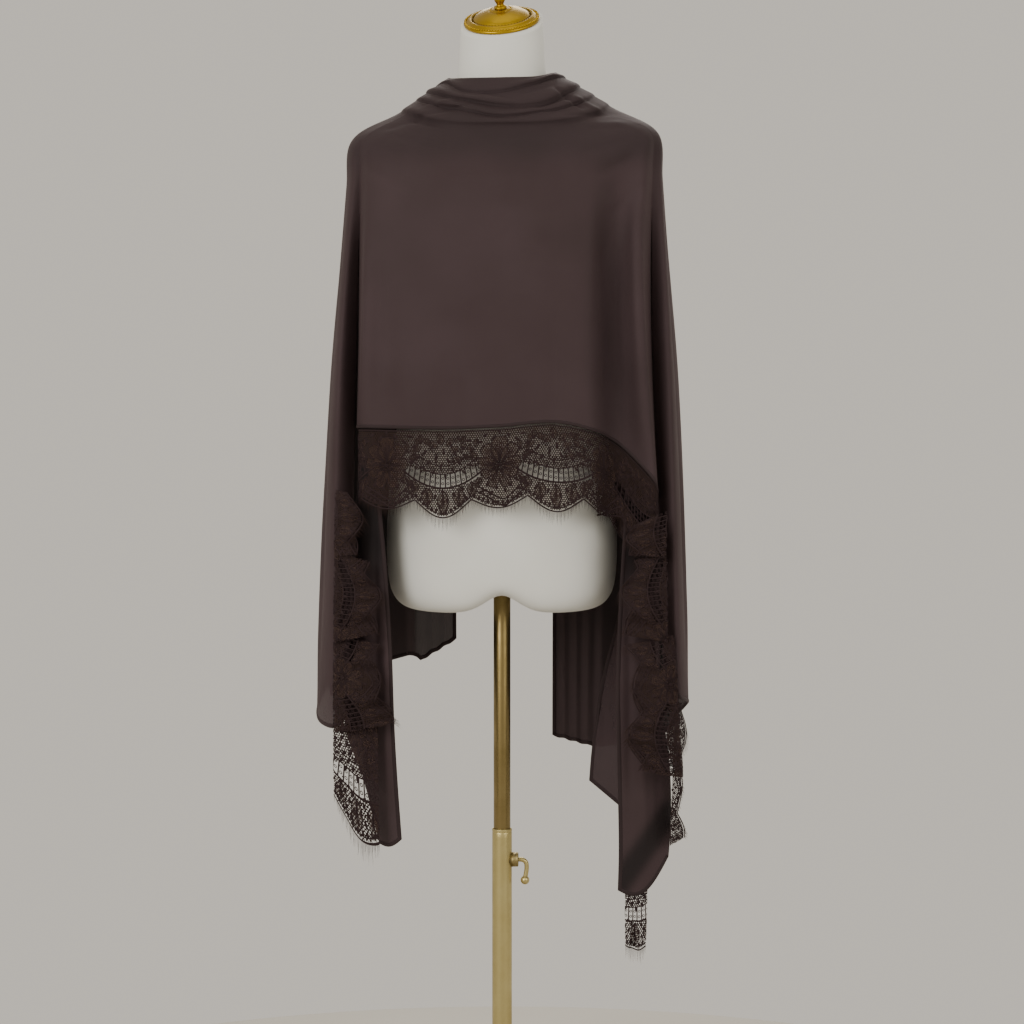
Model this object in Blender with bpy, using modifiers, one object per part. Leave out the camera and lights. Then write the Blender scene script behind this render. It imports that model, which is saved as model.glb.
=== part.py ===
# A lace-trimmed chiffon hijab shawl, draped on a limbless dress form on a pole stand.
# Metres, +Z up. The front faces -Y. The origin is the middle of the base's underside.
import math
from collections import namedtuple

import bmesh
import bpy
from mathutils import Matrix, Vector

# Stand
BASE_RADIUS = 0.160
BASE_THICK = 0.008
BASE_CHAMFER = 0.003
BASE_FOOT_CHAMFER = 0.0015
BASE_STEPS = 40
ROUND_STEPS = 32
LOWER_TUBE_RADIUS = 0.013
LOWER_TUBE_BORE = 0.0114
LOWER_TUBE_TOP = 0.507
LOWER_TUBE_EDGE = 0.0005
POLE_RADIUS = 0.011
POLE_BORE = 0.0095
POLE_BOTTOM = 0.240
POLE_TOP = 0.985
CLAMP_HEIGHT = 0.466
BOSS_RADIUS = 0.0095
BOSS_BORE = 0.0036
BOSS_START = 0.008
BOSS_END = 0.0215
BOSS_CHAMFER = 0.001
LEVER_RADIUS = 0.0030
BALL_RADIUS = 0.0058
FIT_GAP = 0.0004
# The lever's route: how far out from the pole's axis, and its height over the clamp.
LeverPoint = namedtuple("LeverPoint", "out height")
LEVER_ROUTE = [
    LeverPoint(0.0145, 0.0), LeverPoint(0.0240, 0.0), LeverPoint(0.0285, -0.0012),
    LeverPoint(0.0315, -0.0045), LeverPoint(0.0322, -0.0110), LeverPoint(0.0312, -0.0190),
    LeverPoint(0.0300, -0.0240)]
BALL_PLACE = LeverPoint(0.0300, -0.0270)

# Form
FORM_ROUNDNESS = 2.3
FORM_SIDES = 36
FORM_BOTTOM = 0.791
FORM_ARCH = 0.024

# Cloth
CHIFFON_WALL = 0.0012
LACE_WALL = 0.0013
FRINGE_WALL = 0.0010
SEAM_DROP = 0.0028
LACE_DEPTH = 0.112
LACE_REPEAT = 0.141
LADDER_PITCH = 0.0115
LADDER_BAR = 0.0040
FRINGE_LENGTH = 0.010
FRINGE_PITCH = 0.0088
FRINGE_WIDTH = 0.0016
FRINGE_GAP = 0.0019
STRIP_DEPTH = 0.0022

# One row for each level of the form, from the top of the neck to the widest hip.
FormLevel = namedtuple("FormLevel", "height half_width front back tilt roll")
FORM_LEVELS = [
    FormLevel(1.5520, 0.053, 0.048, 0.050, 0.530, 0.105),
    FormLevel(1.5200, 0.055, 0.050, 0.054, 0.360, 0.060),
    FormLevel(1.4880, 0.056, 0.052, 0.058, 0.180, 0.020),
    FormLevel(1.4600, 0.062, 0.056, 0.066, 0.050, 0.000),
    FormLevel(1.4400, 0.090, 0.062, 0.078, 0.000, 0.000),
    FormLevel(1.4200, 0.133, 0.070, 0.086, 0.000, 0.000),
    FormLevel(1.4000, 0.160, 0.078, 0.092, 0.000, 0.000),
    FormLevel(1.3650, 0.176, 0.090, 0.098, 0.000, 0.000),
    FormLevel(1.3100, 0.172, 0.108, 0.101, 0.000, 0.000),
    FormLevel(1.2400, 0.157, 0.121, 0.098, 0.000, 0.000),
    FormLevel(1.1700, 0.141, 0.108, 0.090, 0.000, 0.000),
    FormLevel(1.0900, 0.128, 0.092, 0.082, 0.000, 0.000),
    FormLevel(1.0200, 0.138, 0.092, 0.088, 0.000, 0.000),
    FormLevel(0.9500, 0.147, 0.096, 0.100, 0.000, 0.000),
    FormLevel(0.8800, 0.150, 0.099, 0.108, 0.000, 0.000),
    FormLevel(0.8350, 0.148, 0.097, 0.106, 0.000, 0.000),
]

# The rings that close the form's bottom: share of the hip ring, and share of the drop.
FORM_BOTTOM_RINGS = [(0.965, 0.45), (0.890, 0.78), (0.760, 0.95), (0.520, 1.0), (0.260, 1.0)]

# The neck edge and the yoke line, where the gathered folds end, by angle round the neck.
# Angle 0 is the front and +90 the side at +X.
NeckPoint = namedtuple("NeckPoint", "angle edge_x edge_y edge_z yoke_x yoke_y yoke_z")
NECK_POINTS = [
    NeckPoint(-135, -0.064, 0.066, 1.466, -0.116, 0.080, 1.428),
    NeckPoint(-110, -0.068, 0.036, 1.478, -0.128, 0.042, 1.438),
    NeckPoint(-85, -0.069, 0.004, 1.480, -0.130, 0.000, 1.437),
    NeckPoint(-60, -0.062, -0.034, 1.474, -0.118, -0.052, 1.427),
    NeckPoint(-30, -0.038, -0.066, 1.470, -0.074, -0.095, 1.409),
    NeckPoint(0, 0.000, -0.078, 1.469, 0.004, -0.110, 1.406),
    NeckPoint(30, 0.042, -0.066, 1.472, 0.078, -0.095, 1.411),
    NeckPoint(60, 0.064, -0.034, 1.481, 0.122, -0.054, 1.427),
    NeckPoint(85, 0.071, 0.004, 1.486, 0.138, 0.000, 1.445),
    NeckPoint(110, 0.071, 0.036, 1.482, 0.136, 0.042, 1.445),
    NeckPoint(135, 0.068, 0.066, 1.468, 0.120, 0.080, 1.431),
]

# The troughs between the gathered folds, as shares of the way from the neck edge to the
# yoke line, at the left shoulder, the front and the right shoulder.
NeckTrough = namedtuple("NeckTrough", "left front right")
NECK_TROUGHS = [
    NeckTrough(0.00, 0.00, 0.00),
    NeckTrough(0.24, 0.37, 0.17),
    NeckTrough(0.46, 0.61, 0.40),
    NeckTrough(0.68, 0.81, 0.72),
    NeckTrough(1.00, 1.00, 1.00),
]
# How far each fold swells out, from the one at the neck to the lowest.
FOLD_DEPTHS = [0.0045, 0.0075, 0.0065, 0.0080]
FOLD_END_ANGLE = 135
# A fold's wall stops this share short of each trough, and its crest lies between the shares.
FOLD_EDGE = 0.02
FOLD_CREST = (0.28, 0.72)
FOLD_STEPS = 24
# By this angle round the neck the troughs have reached their places on the shoulder.
SHOULDER_ANGLE = 100.0

# One row for each line down the cloth, along a ridge or a trough: where it leaves the
# yoke line (by angle round the neck), turns over the shoulder or bust, passes mid height,
# and ends at the hem.
DrapeLine = namedtuple(
    "DrapeLine", "angle turn_x turn_y turn_z mid_x mid_y mid_z hem_x hem_y hem_z")
FRONT_LINES = [
    DrapeLine(-62, -0.178, -0.070, 1.384, -0.180, -0.070, 1.22, -0.184, -0.062, 1.029),
    DrapeLine(-52, -0.162, -0.094, 1.372, -0.166, -0.117, 1.24, -0.175, -0.117, 1.029),
    DrapeLine(-38, -0.120, -0.118, 1.362, -0.124, -0.131, 1.24, -0.132, -0.128, 1.028),
    DrapeLine(-18, -0.058, -0.128, 1.355, -0.062, -0.137, 1.24, -0.066, -0.132, 1.027),
    DrapeLine(0, 0.002, -0.130, 1.352, 0.002, -0.138, 1.24, 0.002, -0.133, 1.030),
    DrapeLine(18, 0.060, -0.128, 1.355, 0.062, -0.137, 1.24, 0.062, -0.134, 1.035),
    DrapeLine(34, 0.108, -0.121, 1.364, 0.108, -0.130, 1.24, 0.110, -0.131, 1.026),
    DrapeLine(45, 0.146, -0.104, 1.376, 0.141, -0.094, 1.24, 0.147, -0.094, 1.008),
    DrapeLine(55, 0.180, -0.086, 1.388, 0.171, -0.113, 1.24, 0.190, -0.122, 0.962),
    DrapeLine(64, 0.192, -0.066, 1.396, 0.188, -0.070, 1.24, 0.1965, -0.0800, 0.935),
]
SIDE_LEFT_LINES = [
    DrapeLine(-63, -0.1794, -0.0686, 1.384, -0.1816, -0.0682, 1.22, -0.196, -0.066, 0.662),
    DrapeLine(-70, -0.186, -0.062, 1.385, -0.203, -0.098, 1.10, -0.210, -0.106, 0.652),
    DrapeLine(-80, -0.193, -0.040, 1.390, -0.216, -0.066, 1.08, -0.232, -0.070, 0.655),
    DrapeLine(-90, -0.196, -0.006, 1.393, -0.219, -0.016, 1.07, -0.238, -0.024, 0.668),
    DrapeLine(-100, -0.194, 0.030, 1.392, -0.214, 0.030, 1.06, -0.228, 0.022, 0.690),
    DrapeLine(-110, -0.190, 0.060, 1.390, -0.212, 0.078, 1.05, -0.226, 0.082, 0.672),
    DrapeLine(-120, -0.176, 0.090, 1.386, -0.186, 0.102, 1.05, -0.192, 0.104, 0.702),
    DrapeLine(-128, -0.158, 0.108, 1.384, -0.163, 0.128, 1.05, -0.158, 0.134, 0.712),
    DrapeLine(-134, -0.134, 0.110, 1.384, -0.134, 0.116, 1.05, -0.128, 0.118, 0.722),
]
SIDE_RIGHT_LINES = [
    DrapeLine(65, 0.193, -0.065, 1.396, 0.1895, -0.0685, 1.24, 0.206, -0.072, 0.700),
    DrapeLine(72, 0.199, -0.050, 1.400, 0.2100, -0.096, 1.10, 0.222, -0.106, 0.690),
    DrapeLine(80, 0.202, -0.030, 1.402, 0.2210, -0.060, 1.08, 0.236, -0.066, 0.680),
    DrapeLine(90, 0.203, 0.000, 1.404, 0.2260, -0.012, 1.07, 0.240, -0.020, 0.672),
    DrapeLine(100, 0.200, 0.032, 1.402, 0.2200, 0.034, 1.06, 0.230, 0.028, 0.650),
    DrapeLine(110, 0.194, 0.062, 1.398, 0.2160, 0.080, 1.05, 0.228, 0.086, 0.628),
    DrapeLine(120, 0.180, 0.092, 1.392, 0.1880, 0.104, 1.05, 0.192, 0.106, 0.612),
    DrapeLine(128, 0.160, 0.110, 1.386, 0.1640, 0.128, 1.05, 0.162, 0.134, 0.600),
    DrapeLine(134, 0.137, 0.112, 1.384, 0.1360, 0.117, 1.05, 0.132, 0.120, 0.598),
]
# The gathered back of each end: its outer line and its plain edge, which the folds of the
# neck run down between, and how far the folds stand out there.
GatheredBack = namedtuple(
    "GatheredBack", "side outer_x edge_x outer_hem_x edge_hem_x outer_hem_z edge_hem_z")
BACKS = [
    GatheredBack(-1, 0.1312, 0.0650, 0.1265, 0.0625, 0.706, 0.745),
    GatheredBack(1, 0.1342, 0.0690, 0.1303, 0.0680, 0.597, 0.614),
]
BACK_TURN = (0.112, 1.382)
BACK_MIDDLE = (0.117, 1.050)
BACK_HEM_Y = 0.120
BACK_FOLD = 0.012

# Where the drapes start below the yoke line, how far from its turn to mid height a line
# already hangs straight, and where the cross rows lie, as shares of the length. Then the
# count of columns over each stretch.
FRONT_START = 0.004
SIDE_START = 0.002
BACK_START = 0.003
FALL_SHARE = 0.16
DRAPE_ROWS = [0.0, 0.07, 0.14, 0.22, 0.32, 0.46, 0.62, 0.80, 1.0]
FRONT_COLUMNS = 21
SIDE_COLUMNS = 16
BACK_COLUMNS = 8
LAYER_COLUMNS = 5

# One row for each level of an inner layer that hangs behind the lace cascade. A level
# runs from its outer to its inner edge, bow is how far its middle swells forward, and dip
# how far it hangs down.
Level = namedtuple("Level", "outer_x outer_y outer_z inner_x inner_y inner_z bow dip")
TAIL_LEFT = [
    Level(-0.1800, -0.0780, 1.026, -0.160, -0.090, 1.026, 0.000, 0.000),
    Level(-0.1830, -0.0750, 0.940, -0.153, -0.092, 0.940, 0.006, 0.000),
    Level(-0.1860, -0.0710, 0.850, -0.145, -0.094, 0.850, 0.008, 0.000),
    Level(-0.1890, -0.0670, 0.750, -0.139, -0.094, 0.750, 0.008, 0.000),
    Level(-0.1920, -0.0600, 0.650, -0.136, -0.092, 0.655, 0.008, 0.000),
    Level(-0.1760, -0.0640, 0.580, -0.132, -0.090, 0.580, 0.006, 0.000),
    Level(-0.1560, -0.0720, 0.500, -0.127, -0.088, 0.508, 0.003, 0.006),
]
TAIL_RIGHT = [
    Level(0.1880, -0.0660, 0.930, 0.160, -0.088, 0.975, 0.000, 0.000),
    Level(0.1900, -0.0650, 0.880, 0.154, -0.088, 0.900, 0.005, 0.000),
    Level(0.1940, -0.0650, 0.790, 0.148, -0.088, 0.800, 0.008, 0.000),
    Level(0.2020, -0.0640, 0.690, 0.145, -0.088, 0.700, 0.009, 0.000),
    Level(0.2140, -0.0640, 0.600, 0.147, -0.084, 0.600, 0.009, 0.000),
    Level(0.2160, -0.0620, 0.530, 0.149, -0.080, 0.500, 0.008, 0.008),
    Level(0.2130, -0.0640, 0.482, 0.148, -0.078, 0.441, 0.006, 0.024),
]
UNDER_RIGHT = [
    Level(0.2080, 0.0500, 0.900, 0.176, 0.084, 0.900, 0.000, 0.000),
    Level(0.2080, 0.0480, 0.800, 0.160, 0.092, 0.800, -0.004, 0.000),
    Level(0.2080, 0.0440, 0.700, 0.136, 0.096, 0.700, -0.006, 0.000),
    Level(0.2020, 0.0400, 0.600, 0.122, 0.094, 0.610, -0.006, 0.000),
    Level(0.1900, 0.0380, 0.500, 0.117, 0.092, 0.556, -0.004, 0.000),
]

# One row for each stretch of the lace. Its four corners run along the seam from first to
# last, and along the scalloped edge. Bow swells its middle forward, flare brings its last
# end out over the next stretch, and sway waves it.
LaceStretch = namedtuple(
    "LaceStretch", "name seam_a seam_b edge_a edge_b bow flare sway length phase")
LACE_STRETCHES = [
    LaceStretch("lace_left_1", (-0.2080, -0.1110, 0.952), (-0.2095, -0.1110, 0.868),
                (-0.176, -0.112, 0.944), (-0.170, -0.112, 0.872), 0.012, 0.012, 0.003, 0.090, 0.25),
    LaceStretch("lace_left_2", (-0.2095, -0.1110, 0.876), (-0.2105, -0.1110, 0.760),
                (-0.156, -0.108, 0.858), (-0.146, -0.108, 0.774), 0.018, 0.014, 0.005, 0.122, 0.10),
    LaceStretch("lace_left_3", (-0.2105, -0.1110, 0.770), (-0.2115, -0.1110, 0.646),
                (-0.150, -0.106, 0.757), (-0.135, -0.104, 0.658), 0.018, 0.014, 0.005, 0.130, 0.60),
    LaceStretch("lace_left_tail", (-0.2115, -0.1095, 0.668), (-0.1600, -0.1040, 0.668),
                (-0.2110, -0.106, 0.552), (-0.1575, -0.100, 0.484), 0.004, 0.0, 0.003, 0.056, 0.30),
    LaceStretch("lace_right_1", (0.2060, -0.1300, 0.926), (0.2055, -0.1220, 0.868),
                (0.160, -0.126, 0.905), (0.148, -0.116, 0.870), 0.010, 0.010, 0.003, 0.064, 0.35),
    LaceStretch("lace_right_2", (0.2070, -0.1180, 0.876), (0.2080, -0.1160, 0.760),
                (0.154, -0.112, 0.860), (0.144, -0.110, 0.772), 0.016, 0.014, 0.005, 0.122, 0.15),
    LaceStretch("lace_right_3", (0.2160, -0.1160, 0.770), (0.2280, -0.1130, 0.590),
                (0.154, -0.110, 0.757), (0.160, -0.106, 0.602), 0.018, 0.014, 0.005, 0.186, 0.55),
    LaceStretch("lace_right_side", (0.2210, -0.1010, 0.686), (0.2200, -0.0900, 0.500),
                (0.2355, -0.0655, 0.677), (0.234, -0.058, 0.505), 0.002, 0.0, 0.002, 0.188, 0.20),
    LaceStretch("lace_right_tail", (0.1570, -0.0790, 0.4315), (0.1860, -0.0762, 0.4350),
                (0.1575, -0.074, 0.366), (0.184, -0.069, 0.360), 0.006, 0.0, 0.003, 0.032, 0.40),
    LaceStretch("lace_right_under", (0.1180, -0.0880, 1.002), (0.1580, -0.0780, 0.972),
                (0.120, -0.088, 0.905), (0.154, -0.078, 0.888), 0.003, 0.0, 0.002, 0.054, 0.10),
]
# The front lace: the share of the front hem that it hangs from, its phase, and in how many
# steps the hem is measured.
LACE_FRONT_SPAN = (0.14, 0.985)
LACE_FRONT_PHASE = 0.87
HEM_STEPS = 240
FRONT_LACE_HANG = 0.965 * LACE_DEPTH
# Across the lace, as shares of its depth: where the ladder arc lies beside a flower and how
# far it hangs lower midway between two, the height of its openings, and the scalloped
# edge's inner line with its large scallops midway and its small ones under the flowers.
SWAG_LOW = 0.27
SWAG_RISE = 0.23
LADDER_HEIGHT = 0.13
SCALLOP_LINE = 0.80
SCALLOP_LARGE = 0.20
SCALLOP_SMALL = 0.11
# The ladder is open this share of a repeat to each side of midway between two flowers.
LADDER_REACH = 0.32


def linear(value):
    """One channel of a screen colour as the linear value that a shader takes."""
    if value <= 0.04045:
        return value / 12.92
    return ((value + 0.055) / 1.055) ** 2.4


def material(name, screen_colour, roughness, metallic):
    """A plain finish for the sub-parts made of one material."""
    finish = bpy.data.materials.new(name)
    finish.use_nodes = True
    shader = finish.node_tree.nodes["Principled BSDF"]
    colour = [linear(channel / 255.0) for channel in screen_colour]
    shader.inputs["Base Color"].default_value = (*colour, 1.0)
    shader.inputs["Roughness"].default_value = roughness
    shader.inputs["Metallic"].default_value = metallic
    finish.diffuse_color = (*colour, 1.0)
    return finish


def smooth_at(points, share):
    """A point on a smooth curve through unevenly spaced points, by share of its length."""
    spans = [max((b - a).length, 1e-6) for a, b in zip(points, points[1:])]
    distance = share * sum(spans)
    index = 0
    while index < len(spans) - 1 and distance > spans[index]:
        distance -= spans[index]
        index += 1
    local = distance / spans[index]
    start = points[index]
    end = points[index + 1]
    slope_in = (end - start) / spans[index]
    slope_out = slope_in.copy()
    if index > 0:
        before = (start - points[index - 1]) / spans[index - 1]
        weight = spans[index - 1] + spans[index]
        slope_in = (before * spans[index] + slope_in * spans[index - 1]) / weight
    if index < len(spans) - 1:
        after = (points[index + 2] - end) / spans[index + 1]
        weight = spans[index + 1] + spans[index]
        slope_out = (slope_out * spans[index + 1] + after * spans[index]) / weight
    square = local * local
    cube = square * local
    place = start * (2 * cube - 3 * square + 1) + end * (3 * square - 2 * cube)
    place += slope_in * spans[index] * (cube - 2 * square + local)
    place += slope_out * spans[index] * (cube - square)
    return place


def neck_place(angle, across):
    """A point of the plain cone between the neck edge and the yoke line."""
    rows = NECK_POINTS
    index = 0
    while index < len(rows) - 2 and angle > rows[index + 1].angle:
        index += 1
    share = (angle - rows[index].angle) / (rows[index + 1].angle - rows[index].angle)
    edge = [Vector((row.edge_x, row.edge_y, row.edge_z)) for row in rows]
    yoke = [Vector((row.yoke_x, row.yoke_y, row.yoke_z)) for row in rows]
    return between(edge, index, share).lerp(between(yoke, index, share), across)


def between(points, index, share):
    """A point between two neighbours of an evenly spaced row, on a smooth curve."""
    start = points[index]
    end = points[index + 1]
    before = points[max(index - 1, 0)]
    after = points[min(index + 2, len(points) - 1)]
    slope_in = (end - before) / 2
    slope_out = (after - start) / 2
    square = share * share
    cube = square * share
    place = start * (2 * cube - 3 * square + 1) + end * (3 * square - 2 * cube)
    return place + slope_in * (cube - 2 * square + share) + slope_out * (cube - square)


def trough_at(index, angle):
    """Where a trough of the neck lies at an angle, between neck edge and yoke line."""
    row = NECK_TROUGHS[index]
    turn = max(-1.0, min(1.0, angle / SHOULDER_ANGLE))
    other = row.left if turn < 0 else row.right
    return row.front + (other - row.front) * math.sin(abs(turn) * math.pi / 2) ** 1.5


def fold_place(index, angle, share):
    """A point on a gathered fold: it swells out of the cone and tucks back under."""
    top = trough_at(index, angle)
    bottom = trough_at(index + 1, angle)
    across = top + (bottom - top) * share
    outward = neck_place(angle, 1.0) - neck_place(angle, 0.0)
    along = neck_place(angle + 1.0, across) - neck_place(angle - 1.0, across)
    normal = along.cross(outward).normalized()
    if normal.z < 0:
        normal.negate()
    swell = FOLD_DEPTHS[index] * math.sin(math.pi * share ** 1.25) ** 0.8
    # Each fold is uneven along its length, and all of them flatten towards the shoulders.
    swell *= 1.0 + 0.25 * math.sin(math.radians(2.3 * angle) + 2.0 * index)
    swell *= 0.75 + 0.25 * math.cos(math.radians(1.3 * angle))
    return neck_place(angle, across) + normal * swell


def drape_curve(line):
    """The points that a line down the cloth passes through. Just below its turn it
    already hangs straight."""
    start = neck_place(line.angle, 1.0)
    turn = Vector((line.turn_x, line.turn_y, line.turn_z))
    middle = Vector((line.mid_x, line.mid_y, line.mid_z))
    hem = Vector((line.hem_x, line.hem_y, line.hem_z))
    return [start, turn, turn.lerp(middle, FALL_SHARE), middle, hem]


def back_curves(back):
    """The lines down a gathered back: ridge and trough by turns, out to in."""
    angle = FOLD_END_ANGLE * back.side
    curves = []
    for half in range(2 * len(FOLD_DEPTHS), -1, -1):
        index = min(half // 2, len(FOLD_DEPTHS) - 1)
        ridge = half % 2
        start = fold_place(index, angle, 0.5 if ridge else float(half // 2 - index))
        share = 1.0 - half / (2 * len(FOLD_DEPTHS))
        depth = BACK_FOLD * ridge * (0.8 + 40 * FOLD_DEPTHS[index])
        turn_x = back.side * (back.outer_x + (back.edge_x - back.outer_x) * share)
        hem_x = back.side * (back.outer_hem_x + (back.edge_hem_x - back.outer_hem_x) * share)
        hem_z = back.outer_hem_z + (back.edge_hem_z - back.outer_hem_z) * share
        turn = Vector((turn_x, BACK_TURN[0] + depth * 0.8, BACK_TURN[1]))
        middle = Vector(((turn_x + hem_x) / 2, BACK_MIDDLE[0] + depth, BACK_MIDDLE[1]))
        hem = Vector((hem_x, BACK_HEM_Y + depth, hem_z - 0.006 * ridge))
        curves.append([start, turn, turn.lerp(middle, FALL_SHARE), middle, hem])
    return curves


def drape_place(curves, across, down):
    """A point of a draped stretch: across it in lines, and down it by share of length."""
    points = [smooth_at(curve, down) for curve in curves]
    index = min(int(across), len(points) - 2)
    return between(points, index, across - index)


def level_place(levels, down, across):
    """A point of an inner layer: down it in levels, and across from outer to inner."""
    index = min(int(down), len(levels) - 2)
    outer = [Vector((row.outer_x, row.outer_y, row.outer_z)) for row in levels]
    inner = [Vector((row.inner_x, row.inner_y, row.inner_z)) for row in levels]
    share = down - index
    bow = levels[index].bow + (levels[index + 1].bow - levels[index].bow) * share
    place = between(outer, index, share).lerp(between(inner, index, share), across)
    dip = levels[index].dip + (levels[index + 1].dip - levels[index].dip) * share
    place.y -= bow * math.sin(math.pi * across)
    place.z -= dip * math.sin(math.pi * across)
    return place


def lace_place(stretch, along, across):
    """A point of a stretch of lace, along its seam and across to its scalloped edge."""
    seam = Vector(stretch.seam_a).lerp(Vector(stretch.seam_b), along)
    edge = Vector(stretch.edge_a).lerp(Vector(stretch.edge_b), along)
    place = seam.lerp(edge, across)
    place.y -= stretch.bow * math.sin(math.pi * across) * (0.55 + 0.45 * math.sin(math.pi * along))
    place.y -= stretch.sway * math.sin(4 * math.pi * along) * across
    place.y -= stretch.flare * (along - 0.5) * (0.4 + 0.6 * across)
    return place


def front_hem_runs():
    """The part of the front hem that the lace hangs from, in small even steps of the lines,
    and how far along the hem each of its points lies."""
    low, high = LACE_FRONT_SPAN
    hems = [Vector((line.hem_x, line.hem_y, line.hem_z)) for line in FRONT_LINES]
    points = []
    for step in range(HEM_STEPS + 1):
        column = (low + (high - low) * step / HEM_STEPS) * (len(hems) - 1)
        index = min(int(column), len(hems) - 2)
        points.append(between(hems, index, column - index))
    runs = [0.0]
    for start, end in zip(points, points[1:]):
        runs.append(runs[-1] + (end - start).length)
    return points, runs


def front_lace_place(hem, along, across):
    """A point of the lace that hangs from the front hem, by share of the hem's length."""
    points, runs = hem
    index = 0
    while index < HEM_STEPS - 1 and along * runs[-1] > runs[index + 1]:
        index += 1
    share = (along * runs[-1] - runs[index]) / (runs[index + 1] - runs[index])
    top = points[index].lerp(points[index + 1], share)
    place = top + Vector((0, 0, -SEAM_DROP - FRONT_LACE_HANG * across))
    place.y += 0.004 * math.sin(2 * math.pi * 3.5 * along) * across + 0.006 * across
    return place


def swag(repeats):
    """Depth of the ladder arc across the lace: low between two flowers, which lie where
    repeats is a whole number."""
    return SWAG_LOW + SWAG_RISE * abs(math.sin(math.pi * repeats)) ** 0.8


def scallop(repeats):
    """Depth of the scalloped edge: one large and one small scallop in each repeat."""
    wave = math.cos(2 * math.pi * repeats)
    size = SCALLOP_LARGE if wave < 0 else SCALLOP_SMALL
    return SCALLOP_LINE + size * abs(wave) ** 1.1


def open_ladder(repeats):
    """True where the ladder arc has its openings, clear of the flowers."""
    return abs(repeats % 1.0 - 0.5) < LADDER_REACH


def add_object(name, mesh, collection, finish):
    """An object for a mesh, in the part's collection, with its one material."""
    item = bpy.data.objects.new(name, mesh)
    collection.objects.link(item)
    mesh.materials.append(finish)
    return item


def sheet(name, grid, wall, collection, finish, holes=(), flip=False, teeth=()):
    """A cloth wall over rows of points. Holes names cells that are left open, and teeth
    gives the tip that hangs from each named cell of the last row."""
    mesh = bpy.data.meshes.new(name)
    build = bmesh.new()
    rows = [[build.verts.new(point) for point in row] for row in grid]
    for down in range(len(rows) - 1):
        for across in range(len(rows[0]) - 1):
            if (down, across) in holes:
                continue
            corners = [rows[down][across], rows[down + 1][across],
                       rows[down + 1][across + 1], rows[down][across + 1]]
            build.faces.new(reversed(corners) if flip else corners)
    for across, tip in teeth:
        corners = [rows[-1][across], build.verts.new(tip), rows[-1][across + 1]]
        build.faces.new(reversed(corners) if flip else corners)
    loose = [vert for vert in build.verts if not vert.link_faces]
    bmesh.ops.delete(build, geom=loose, context="VERTS")
    build.to_mesh(mesh)
    build.free()
    item = add_object(name, mesh, collection, finish)
    shell = item.modifiers.new("wall", "SOLIDIFY")
    shell.thickness = wall
    shell.offset = -1.0
    mesh.shade_smooth()
    return item


def turned(name, profile, steps, collection, finish):
    """A turned piece from a profile of radius and height, run down its outer side."""
    mesh = bpy.data.meshes.new(name)
    build = bmesh.new()
    points = [build.verts.new((radius, 0.0, height)) for radius, height in profile]
    for first, second in zip(points, points[1:]):
        build.edges.new((first, second))
    if profile[0][0] > 0:
        build.edges.new((points[-1], points[0]))
    build.to_mesh(mesh)
    build.free()
    item = add_object(name, mesh, collection, finish)
    screw = item.modifiers.new("turn", "SCREW")
    screw.steps = steps
    screw.render_steps = steps
    screw.use_merge_vertices = True
    screw.merge_threshold = 0.00001
    return item


def make_stand(collection, brass):
    """The base plate, the lower tube, the inner pole and the clamp."""
    turned("base_plate", [
        (0.0, BASE_THICK), (BASE_RADIUS - BASE_CHAMFER, BASE_THICK),
        (BASE_RADIUS, BASE_THICK - BASE_CHAMFER), (BASE_RADIUS, BASE_FOOT_CHAMFER),
        (BASE_RADIUS - BASE_FOOT_CHAMFER, 0.0), (0.0, 0.0)], BASE_STEPS, collection, brass)
    turned("lower_tube", [
        (LOWER_TUBE_BORE, LOWER_TUBE_TOP),
        (LOWER_TUBE_RADIUS - LOWER_TUBE_EDGE, LOWER_TUBE_TOP),
        (LOWER_TUBE_RADIUS, LOWER_TUBE_TOP - LOWER_TUBE_EDGE),
        (LOWER_TUBE_RADIUS, BASE_THICK + FIT_GAP),
        (LOWER_TUBE_BORE, BASE_THICK + FIT_GAP)], ROUND_STEPS, collection, brass)
    turned("upper_pole", [
        (POLE_BORE, POLE_TOP), (POLE_RADIUS, POLE_TOP), (POLE_RADIUS, POLE_BOTTOM),
        (POLE_BORE, POLE_BOTTOM)], ROUND_STEPS, collection, brass)


def cutter(name, radius, start, end, axis, cutters):
    """A round cutter between two places on an axis."""
    mesh = bpy.data.meshes.new(name)
    build = bmesh.new()
    bmesh.ops.create_cone(build, cap_ends=True, segments=32, radius1=radius, radius2=radius,
                          depth=(end - start))
    build.to_mesh(mesh)
    build.free()
    item = bpy.data.objects.new(name, mesh)
    cutters.objects.link(item)
    item.location = axis * ((start + end) / 2)
    item.hide_render = True
    item.display_type = "WIRE"
    return item


def cut(item, tool):
    """Takes a cutter's shape out of a piece."""
    boolean = item.modifiers.new("cut", "BOOLEAN")
    boolean.operation = "DIFFERENCE"
    boolean.solver = "EXACT"
    boolean.object = tool


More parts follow.
